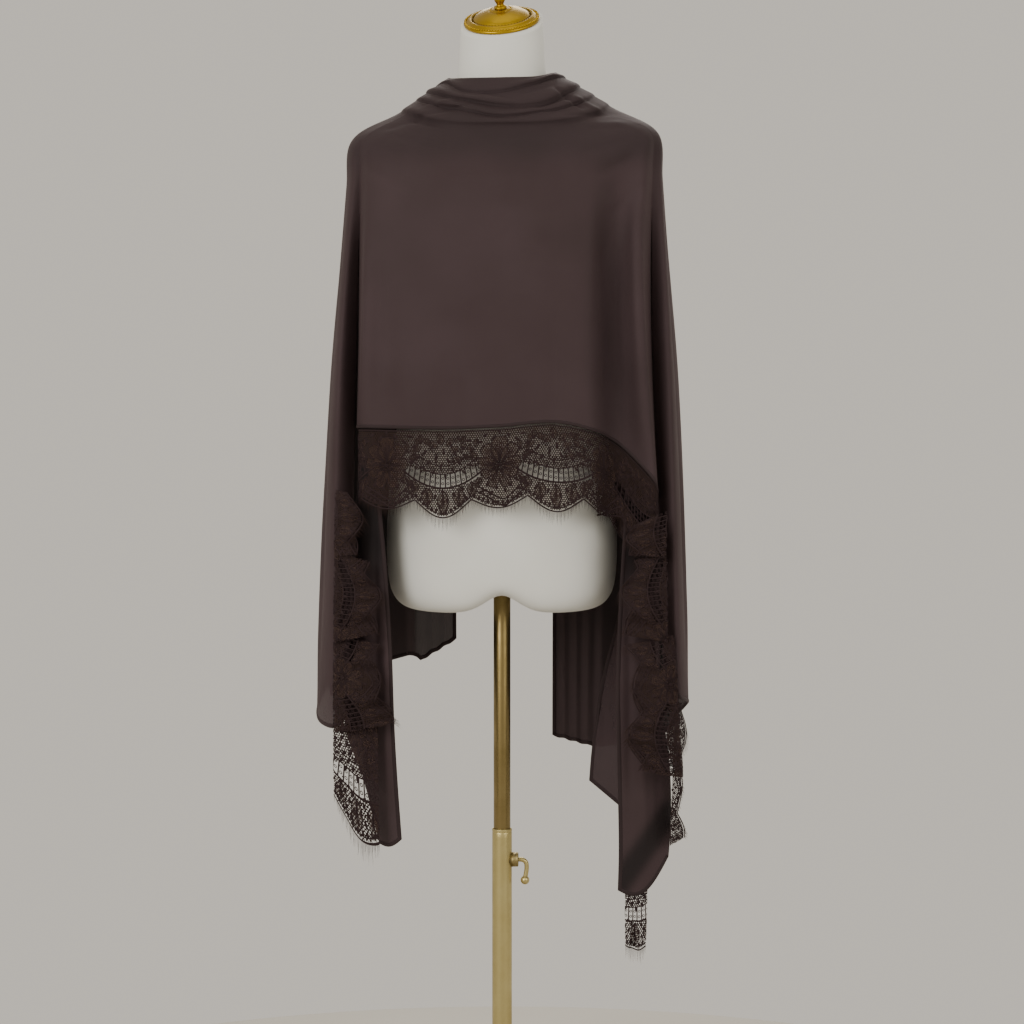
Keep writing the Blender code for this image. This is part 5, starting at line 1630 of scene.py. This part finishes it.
def sew_lace(name, place, length, top, phase):
    """One stretch of lace, and its eyelash fringe where it has one."""
    net_points, net_faces = net_mesh(length, top, phase)
    motifs = draw_lace(length, top, phase,
                       HANGING_LEAVES if name in HANGING_LACE else STREWN_LEAVES)
    points = np.concatenate([bent(place, net_points), bent(place, np.array(motifs.points[FILL]))])
    first = len(net_points)
    faces = net_faces + [tuple(corner + first for corner in face) for face in motifs.faces[FILL]]
    item = mesh_object(name + "_galloon", points, faces)
    for material in (LACE_NET, LACE_FILL):
        item.data.materials.append(material)
    item.data.polygons.foreach_set("material_index", [0] * len(net_faces)
                                   + [1] * len(motifs.faces[FILL]))
    item.data.update()
    cords = mesh_object(name + "_cordwork", bent(place, np.array(motifs.points[THREAD])),
                        motifs.faces[THREAD])
    cords.data.materials.append(LACE_MOTIF)
    for piece in (item, cords):
        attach(piece, "form")
    if not name.endswith("_return"):
        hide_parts(name)
    if name != "lace_right_under" and not name.endswith("_return"):
        lash_points, lash_faces = lash_mesh(place, length, phase)
        fringe = name.replace("lace", "fringe")
        lash = mesh_object(fringe + "_eyelash", lash_points, lash_faces)
        lash.data.materials.append(LACE_LASH)
        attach(lash, "form")
        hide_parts(fringe)
    width = LACE_DEPTH - top
    middle = np.full(65, (top + LACE_DEPTH) / 2)
    run = curve_length(place(np.linspace(0, length, 65), middle))
    flat = np.concatenate([net_points, np.array(motifs.points[FILL])])
    covered = face_areas(flat, faces) / (length * width)
    print(name, "cut", round(width * 1000), "x", round(run * 1000), "mm, thread over",
          round(covered, 2), "of it")
    return len(faces) + len(motifs.faces[THREAD])


# %% Sew all the lace
# The lobes of the cascades whose lace turns back behind their lower ends, how much of it
# does, how far behind it lies, and how far on in its repeat it starts.
DOUBLED = ["lace_left_1", "lace_left_2", "lace_left_3", "lace_right_1", "lace_right_2",
           "lace_right_3"]
RETURN_SHARE = 0.60
RETURN_GAP = 0.0060
RETURN_PHASE = 0.45
made_faces = sew_lace("lace_front", front_lace, LACE_FRONT_LENGTH, 0.0, LACE_FRONT_PHASE)
for stretch in LACE_STRETCHES:
    top = max(0.0, LACE_DEPTH - lace_width(stretch))

    def hang(x, y, stretch=stretch, top=top):
        """Points of this stretch: x along its seam and y down from the seam."""
        return stretch_place(stretch, x / stretch.length, (y - top) / (LACE_DEPTH - top))

    made_faces += sew_lace(stretch.name, hang, stretch.length, top, stretch.phase)
    if stretch.name in DOUBLED:

        def turn_back(x, y, hang=hang, stretch=stretch):
            """Points of the lace that turns back behind the lower end of this lobe."""
            place = hang(x + (1 - RETURN_SHARE) * stretch.length, y)
            return place + np.array((0.0, RETURN_GAP, 0.0))

        made_faces += sew_lace(stretch.name + "_return", turn_back,
                               RETURN_SHARE * stretch.length, top, stretch.phase + RETURN_PHASE)
print("lace faces", made_faces)

# %% [markdown]
# ## Jersey and metal
#
# The form has a cover of stretched cotton jersey, and the stand and cap are satin metal.
# Plain colours would do from far off, but close up jersey shows its fine wales and satin
# metal the lines of its brushing, so both use a noise that is drawn out along the piece.

# %% Materials of the form and the metal
JERSEY_WALE = 0.0011
WALE_DEPTH = 0.00012
PAD_SIZE = 0.05
PAD_DEPTH = 0.0005
BRUSH_WIDTH = 0.0005
BRUSH_LENGTH = 0.030
BRUSH_DEPTH = 0.00006


def jersey_material():
    """Off-white cotton jersey: fine wales, a soft nap and faint clouds from the padding."""
    made, tree, shader = new_material("cotton_jersey")
    wales = stretched_noise(tree, JERSEY_WALE, 4 * JERSEY_WALE)
    pad = bump(tree, noise(tree, PAD_SIZE, 1.0), PAD_DEPTH, 0.5)
    set_inputs(tree, shader, {
        "Base Color": two_tone(tree, noise(tree, 0.14, 3.0), "cfcec6", "dad9d2"),
        "Normal": bump(tree, wales, WALE_DEPTH, 0.6, pad), "Roughness": 0.86,
        "Specular IOR Level": 0.2, "Sheen Weight": 0.15})
    return made


def metal_material(name, dark, light, rough, across=BRUSH_WIDTH, along=BRUSH_LENGTH):
    """Satin metal: brushed lines, and faint tarnish that is duller than the rest."""
    made, tree, shader = new_material(name)
    tarnish = noise(tree, 0.035, 4.0, 0.6)
    brush = stretched_noise(tree, across, along)
    spread = add_node(tree, "ShaderNodeMapRange", {
        "Value": tarnish, "From Min": 0.3, "From Max": 0.7, "To Min": rough + 0.10,
        "To Max": rough - 0.04})
    set_inputs(tree, shader, {
        "Base Color": two_tone(tree, tarnish, dark, light), "Metallic": 1.0,
        "Roughness": spread.outputs["Result"], "Normal": bump(tree, brush, BRUSH_DEPTH, 0.5)})
    return made


JERSEY = jersey_material()
BRASS = metal_material("satin_brass_tube", "b3a36d", "c6b780", 0.36)
BRASS_POLE = metal_material("satin_brass_pole", "7b6a41", "8f7d52", 0.34)
BRASS_PLATE = metal_material("satin_brass_plate", "94855b", "a89970", 0.42, 0.004, 0.004)
GILT = metal_material("gilt_cap", "9a7c16", "b29024", 0.36, 0.0016, 0.0016)
GILT_DARK = metal_material("gilt_hollow", "4a3a18", "5c4a22", 0.50, 0.0010, 0.0010)
print("materials in all", len(bpy.data.materials))

# %% [markdown]
# ## The stand
#
# The stand is a turned base plate, a brass tube that is fixed to it, and a thinner pole
# that slides in the tube and carries the form. Turned pieces are a half outline of radius
# and height, swept once round. A screw modifier could sweep it too, but sums give a
# finished mesh, and can tilt it in the same step.

# %% Turned pieces
# Points closer than this are one point of a turned piece.
TURNED_MERGE = 0.00001


def turned_mesh(name, profile, sides, material, place=np.array):
    """A turned piece from a closed run of radius and height. Place moves its points."""
    turn = turn_angles(sides)
    points = [(radius * math.cos(angle), radius * math.sin(angle), height)
              for radius, height in profile for angle in turn]
    item = mesh_object(name, place(np.array(points)), ring_faces(len(profile), sides))
    mend(item, merge=TURNED_MERGE)
    item.data.materials.append(material)
    return item


def rounded(profile, reach=0.12, steps=3):
    """A profile with each inner corner cut to a small curve."""
    done = [profile[0]]
    for before, corner, after in zip(profile, profile[1:], profile[2:]):
        start = np.array(corner) + (np.array(before) - np.array(corner)) * reach
        end = np.array(corner) + (np.array(after) - np.array(corner)) * reach
        for step in range(steps + 1):
            share = step / steps
            done.append(tuple(start * (1 - share) ** 2 + 2 * share * (1 - share)
                              * np.array(corner) + end * share ** 2))
    done.append(profile[-1])
    return done


def stands_in(item, node, body):
    """The piece takes its node's place."""
    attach(item, body)
    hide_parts(node)


# %% The stand
TUBE_SIDES = 72
plate = turned_mesh("base_plate_turned", rounded([
    (0.0, 0.0080), (0.0200, 0.0080), (0.1400, 0.0079), (0.1520, 0.0074), (0.1575, 0.0064),
    (0.1600, 0.0045), (0.1600, 0.0015), (0.1585, 0.0), (0.0, 0.0)]), 120, BRASS_PLATE)
stands_in(plate, "base_plate", "stand")
tube = turned_mesh("lower_tube_turned", rounded([
    (0.0114, 0.0084), (0.0114, 0.5060), (0.0118, 0.5070), (0.0126, 0.5070), (0.0130, 0.5064),
    (0.0130, 0.5036), (0.0126, 0.5028), (0.0129, 0.5020), (0.0129, 0.0110), (0.0130, 0.0084),
    (0.0114, 0.0084)]), TUBE_SIDES, BRASS)
stands_in(tube, "lower_tube", "stand")
pole = turned_mesh("upper_pole_turned", [
    (0.0095, 0.240), (0.0095, 0.985), (0.0107, 0.985), (0.0110, 0.9846), (0.0110, 0.2404),
    (0.0107, 0.240), (0.0095, 0.240)], TUBE_SIDES, BRASS_POLE)
stands_in(pole, "upper_pole", "pole")
print("base plate, tube and pole made")

# %% [markdown]
# ## The clamp
#
# A boss on the side of the tube holds a screw, and a bent lever with a ball end turns it to
# lock the pole. The boss has to sit on a round tube, so its inner end is shaped to it ring
# by ring. A boolean cut would do that too, and leave long thin faces.

# %% The boss
CLAMP_HEIGHT = 0.466
# The boss by radius and distance out from the tube's middle, from its bore to its foot.
BOSS_BORE = 0.0036
BOSS_RADIUS = 0.0095
BOSS_ROUTE = [(0.0036, 0.02150), (0.0078, 0.02150), (0.0090, 0.02110), (0.0095, 0.02030),
              (0.0095, 0.01900), (0.0090, 0.01860), (0.0095, 0.01820)]
BOSS_SIDES = 48
# The tube's round, and the gap to it.
SADDLE_RADIUS = 0.0131
SADDLE_GAP = 0.0003


def boss_mesh():
    """The boss: turned round X, with its inner end shaped to the round of the tube."""
    turn = turn_angles(BOSS_SIDES)

    def saddle(radius):
        """A ring on the round of the tube."""
        y = radius * np.cos(turn)
        return np.stack([np.sqrt(SADDLE_RADIUS ** 2 - y ** 2) + SADDLE_GAP, y,
                         radius * np.sin(turn)], axis=-1)

    rings = [saddle(BOSS_BORE)]
    for radius, out in BOSS_ROUTE:
        rings.append(np.stack([np.full(BOSS_SIDES, out), radius * np.cos(turn),
                               radius * np.sin(turn)], axis=-1))
    rings.append(saddle(BOSS_RADIUS))
    points = np.concatenate(rings) + np.array((0.0, 0.0, CLAMP_HEIGHT))
    return points, ring_faces(len(rings), BOSS_SIDES, closed=True)


boss_points, boss_faces = boss_mesh()
boss = mesh_object("clamp_boss_turned", boss_points, boss_faces)
boss.data.materials.append(BRASS_PLATE)
stands_in(boss, "clamp_boss", "stand")
print("boss faces", len(boss_faces))

# %% The lever
# A rod that is bent along a route of distance out and height, with a ball at its end.
LEVER_SIDES = 20
LEVER_RADIUS = 0.0030
BALL_RADIUS = 0.0058
BALL_RINGS = 17
BALL_OUT = 0.0300
BALL_DROP = 0.0270
lever_route = np.array([(0.0145, 0.0), (0.0240, 0.0), (0.0285, -0.0012), (0.0315, -0.0045),
                        (0.0322, -0.0110), (0.0312, -0.0190), (0.0300, -0.0240)])
line = across_at(lever_route, np.linspace(0, len(lever_route) - 1, 37))
along = unit(np.gradient(line, axis=0))
turn = turn_angles(LEVER_SIDES)
points = []
for place, way in zip(line, along):
    side_way = np.array((-way[1], way[0]))
    for angle in turn:
        out = place + side_way * LEVER_RADIUS * math.cos(angle)
        points.append((out[0], LEVER_RADIUS * math.sin(angle), out[1] + CLAMP_HEIGHT))
faces = ring_faces(len(line), LEVER_SIDES)
faces.append(tuple(range(LEVER_SIDES)))
first = len(points)
for ring in range(BALL_RINGS):
    polar = math.pi * (ring + 0.5) / BALL_RINGS
    radius = BALL_RADIUS * math.sin(polar)
    height = CLAMP_HEIGHT - BALL_DROP + BALL_RADIUS * math.cos(polar)
    points += [(BALL_OUT + radius * math.cos(angle), radius * math.sin(angle), height)
               for angle in turn]
faces += ring_faces(BALL_RINGS, LEVER_SIDES, first, flip=True)
for ring in (0, BALL_RINGS - 1):
    faces.append(tuple(first + ring * LEVER_SIDES + side for side in range(LEVER_SIDES)))
lever = mesh_object("clamp_lever_bent", points, faces)
mend(lever)
lever.data.materials.append(BRASS)
stands_in(lever, "clamp_lever", "clamp")
print("lever length", round(curve_length(line) * 1000), "mm")

# %% [markdown]
# ## The dress form
#
# The form is a padded torso with no limbs, covered in jersey and closed below, where the
# pole enters it. It could be sculpted, but a table of levels, each with its half width, its
# front and its back, keeps it on the plain solid's shape. The rings are eased, so that no
# level shows as a line.

# %% The form
# One row for each level of the form, from the top of the neck to the widest hip.
FormLevel = namedtuple("FormLevel", "height half_width front back tilt roll",
                       defaults=(0.0, 0.0))
FORM_LEVELS = [FormLevel(*row) for row in [
    (1.552, 0.053, 0.048, 0.05, 0.53, 0.105),
    (1.52, 0.055, 0.05, 0.054, 0.36, 0.06),
    (1.488, 0.056, 0.052, 0.058, 0.18, 0.02),
    (1.46, 0.062, 0.056, 0.066, 0.05, 0.0),
    (1.44, 0.09, 0.062, 0.078),
    (1.42, 0.133, 0.07, 0.086),
    (1.4, 0.16, 0.078, 0.092),
    (1.365, 0.176, 0.09, 0.098),
    (1.31, 0.172, 0.108, 0.101),
    (1.24, 0.157, 0.121, 0.098),
    (1.17, 0.141, 0.108, 0.09),
    (1.09, 0.128, 0.092, 0.082),
    (1.02, 0.138, 0.092, 0.088),
    (0.95, 0.147, 0.096, 0.1),
    (0.88, 0.15, 0.099, 0.108),
    (0.835, 0.148, 0.097, 0.106),
]]

FORM_ROUNDNESS = 2.3
FORM_BOTTOM = 0.791
FORM_ARCH = 0.024
# The rings that close the form's bottom: share of the hip ring, and share of the drop.
FORM_BOTTOM_RINGS = [(0.965, 0.45), (0.890, 0.78), (0.760, 0.95), (0.520, 1.0), (0.260, 1.0)]
print("levels of the form", len(FORM_LEVELS))

# %% The rings of the form
FORM_COLUMNS = 168
FORM_STEPS = 8
BOTTOM_STEPS = 5
ARCH_WIDTH = 0.030


def form_points():
    """Rings of points down the form and over its underside."""
    turn = turn_angles(FORM_COLUMNS)
    power = 2.0 / FORM_ROUNDNESS
    side = np.sign(np.cos(turn)) * np.abs(np.cos(turn)) ** power
    front = np.sign(np.sin(turn)) * np.abs(np.sin(turn)) ** power
    heights = [level.height for level in FORM_LEVELS]
    sizes = np.array(FORM_LEVELS)[:, 1:]
    rings = []
    for step in range((len(FORM_LEVELS) - 1) * FORM_STEPS + 1):
        at = step / FORM_STEPS
        height = float(np.interp(at, range(len(heights)), heights))
        half, fore, back, tilt, roll = [
            float(np.interp(at, range(len(heights)), sizes[:, column])) for column in range(5)]
        x = half * side
        y = np.where(front > 0, back, fore) * front
        rings.append(np.stack([x, y, height + tilt * y + roll * x], axis=-1))
    hip = rings[-1]
    shares = np.array([(1.0, 0.0)] + FORM_BOTTOM_RINGS)
    for step in range(1, (len(shares) - 1) * BOTTOM_STEPS + 1):
        share, drop = across_at(shares, np.array([step / BOTTOM_STEPS]))[0]
        x = hip[:, 0] * share
        low = FORM_BOTTOM + FORM_ARCH * np.exp(-(x / ARCH_WIDTH) ** 2)
        rings.append(np.stack([x, hip[:, 1] * share, hip[:, 2] + (low - hip[:, 2]) * drop],
                              axis=-1))
    return np.array(rings)


def eased(rings, passes):
    """Rings smoothed down the form, which keep the corners' places within a millimetre."""
    for _ in range(passes):
        middle = (rings[:-2] + rings[2:]) / 2
        rings[1:-1] = rings[1:-1] * 0.5 + middle * 0.5
    return rings


# %% Close the form round the pole
EASING_PASSES = 12
SOCKET_RADIUS = 0.0114
SOCKET_DEPTH = 0.030
rings = eased(form_points(), EASING_PASSES)
last = rings[-1]
outward = SOCKET_RADIUS * unit(last[:, :2])
socket = np.column_stack([outward, np.full(len(last), FORM_BOTTOM + FORM_ARCH)])
inside = socket + np.array((0.0, 0.0, SOCKET_DEPTH))
rings = np.concatenate([rings, (last * 0.5 + socket * 0.5)[None], socket[None], inside[None]])
closed = np.concatenate([rings, rings[:, :1]], axis=1)
torso = grids_object("dress_form_jersey", [(closed, False)])
mend(torso, holes=FORM_COLUMNS + 4)
torso.data.shade_smooth()
torso.data.materials.append(JERSEY)
stands_in(torso, "dress_form", "form")
print("form faces", len(torso.data.polygons))

# %% [markdown]
# ## The cap and the finial
#
# The neck is closed by a turned gilt cap with a beaded rim, and a small turned finial
# stands on it. The neck is cut on a slant, so the cap is made upright and then tilted onto
# it. Its beads could be a bump, but they break the outline of the rim, so they are made.

# %% The cap
top = FORM_LEVELS[0]
CAP_NORMAL = Vector((-top.roll, -top.tilt, 1.0)).normalized()
CAP_SPIN = np.array(Vector((0, 0, 1)).rotation_difference(CAP_NORMAL).to_matrix())
CAP_FOOT = np.array((0.0, 0.0, top.height)) + np.array(CAP_NORMAL) * 0.0004
CAP_PROFILE = [(0.0, 0.0185), (0.0100, 0.0185), (0.0115, 0.0183), (0.0130, 0.0172),
               (0.0140, 0.0176), (0.0200, 0.0158), (0.0300, 0.0124), (0.0330, 0.0104),
               (0.0352, 0.0088), (0.0360, 0.0074), (0.0392, 0.0072), (0.0400, 0.0084),
               (0.0420, 0.0080), (0.0432, 0.0068), (0.0440, 0.0058), (0.0478, 0.0044),
               (0.0492, 0.0034), (0.0496, 0.0022), (0.0485, 0.0), (0.0, 0.0)]


def on_cap(points):
    """Points of the cap from its own upright frame to where it sits."""
    return np.asarray(points) @ CAP_SPIN.T + CAP_FOOT


def beads(count, radius, height, size, sides=8, rows=5):
    """Half-round beads in a ring: points and faces."""
    points = []
    faces = []
    for turn in turn_angles(count):
        way = np.array((math.cos(turn), math.sin(turn), 0.0))
        middle = way * radius + np.array((0.0, 0.0, height))
        first = len(points)
        for row in range(rows):
            polar = math.pi * (row + 0.35) / (rows - 0.3)
            points += [middle + size * np.array((
                math.sin(polar) * math.cos(angle), math.sin(polar) * math.sin(angle),
                math.cos(polar))) for angle in turn_angles(sides)]
        faces += ring_faces(rows, sides, first)
        faces.append(tuple(first + side for side in range(sides)))
    return points, faces


cap = turned_mesh("neck_cap_turned", CAP_PROFILE, 120, GILT, place=on_cap)
stands_in(cap, "neck_cap", "form")
for name, count, radius, height, size, material in (
        ("cap_rim_beads", 84, 0.0472, 0.0046, 0.00175, GILT),
        ("cap_ring_dots", 56, 0.0376, 0.0074, 0.00105, GILT_DARK),
        ("cap_inner_beads", 40, 0.0136, 0.0173, 0.00085, GILT)):
    points, faces = beads(count, radius, height, size)
    ring = mesh_object(name, on_cap(np.array(points)), faces)
    ring.data.materials.append(material)
    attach(ring, "form")
    print(name, count)

# %% The finial
KNOB_FOOT = 0.0189
knob = turned_mesh("finial_turned", rounded([
    (0.0, 0.0200), (0.0020, 0.0198), (0.0042, 0.0188), (0.0062, 0.0165), (0.0073, 0.0140),
    (0.0074, 0.0118), (0.0066, 0.0092), (0.0052, 0.0072), (0.0047, 0.0056), (0.0050, 0.0042),
    (0.0066, 0.0036), (0.0081, 0.0024), (0.0082, 0.0006), (0.0080, 0.0), (0.0, 0.0)], 0.25),
    64, GILT, place=lambda points: on_cap(points + np.array((0.0, 0.0, KNOB_FOOT))))
stands_in(knob, "finial", "form")
print("form, cap and stand made")

# %% [markdown]
# ## The floor
#
# The stand needs a floor under it. A plane would do, but its corners would show from the
# side, so it is a pale disc with a soft rim. As stage it is no part of the model.

# %% Floor
FLOOR_RADIUS = 1.10
FLOOR_SIDES = 96
FLOOR_RINGS = 4
# The floor's rim is rounded off in rings that are this much of its radius apart.
FLOOR_EASE = 0.004
FLOOR_DROP = 0.0005
made, tree, shader = new_material("pale_floor")
tree.links.new(two_tone(tree, noise(tree, 0.5), "bdb8ae", "c3beb4"), shader.inputs["Base Color"])
shader.inputs["Roughness"].default_value = 0.9
floor_rings = [FLOOR_RADIUS * (1 - FLOOR_EASE * step) for step in range(FLOOR_RINGS)]
points = [(ring * math.cos(turn), ring * math.sin(turn), -FLOOR_DROP * (FLOOR_RINGS - 1 - step))
          for step, ring in enumerate(floor_rings) for turn in turn_angles(FLOOR_SIDES)]
faces = [tuple(range((FLOOR_RINGS - 1) * FLOOR_SIDES, FLOOR_RINGS * FLOOR_SIDES))]
faces += ring_faces(FLOOR_RINGS, FLOOR_SIDES, flip=True)
floor = mesh_object("floor", points, faces, smooth=False)
floor.data.materials.append(made)
print("floor", 2 * FLOOR_RADIUS, "m across")

# %% [markdown]
# ## Light
#
# Folds of dark cloth show best in soft light. Small lamps would draw hard shadows, so big
# round panels are used: one in front, a weaker one beside it, one behind that draws the
# outline, and a faint one above. A pale world fills in the shadows.

# %% Light
WORLD_STRENGTH = 1.30
AIM_HEIGHT = 1.0
Panel = namedtuple("Panel", "name x y z size power")
PANELS = [
    Panel("key_light", -1.9, -2.6, 2.0, 1.8, 64.0),
    Panel("fill_light", 2.3, -2.4, 1.9, 2.0, 36.0),
    Panel("back_light", 0.4, 2.4, 2.6, 1.8, 40.0),
    Panel("top_light", 0.0, -0.4, 3.2, 1.6, 6.0),
]
for panel in PANELS:
    lamp = bpy.data.lights.new(panel.name, "AREA")
    lamp.shape = "DISK"
    lamp.size = panel.size
    lamp.energy = panel.power
    lamp.color = linear("fffdfa")[:3]
    item = bpy.data.objects.new(panel.name, lamp)
    item.location = (panel.x, panel.y, panel.z)
    aim = Vector((0.0, 0.0, AIM_HEIGHT)) - item.location
    item.rotation_euler = aim.to_track_quat("-Z", "Y").to_euler()
    bpy.context.scene.collection.objects.link(item)
world = bpy.data.worlds.new("studio")
world.use_nodes = True
set_inputs(world.node_tree, world.node_tree.nodes["Background"],
           {"Color": linear("beb8ae"), "Strength": WORLD_STRENGTH})
bpy.context.scene.world = world
print("light panels", len(PANELS))

# %% [markdown]
# ## Camera
#
# The camera stands in front, at about the height of the photograph's view. A wider lens
# from nearer would show the same, but it would swell what is near.

# %% Camera
SENSOR_WIDTH = 36.0
LENS = 81.2
CAMERA_PLACE = (0.013, -3.0, 1.02)
CAMERA_AIM = (0.013, 0.0, 0.92)
camera = bpy.data.objects.new("camera", bpy.data.cameras.new("camera"))
bpy.context.scene.collection.objects.link(camera)
camera.data.sensor_width = SENSOR_WIDTH
camera.data.lens = LENS
camera.location = CAMERA_PLACE
aim = Vector(CAMERA_AIM) - camera.location
camera.rotation_euler = aim.to_track_quat("-Z", "Y").to_euler()
bpy.context.scene.camera = camera
print("camera", round(math.dist(CAMERA_PLACE, CAMERA_AIM), 2), "m from its aim")
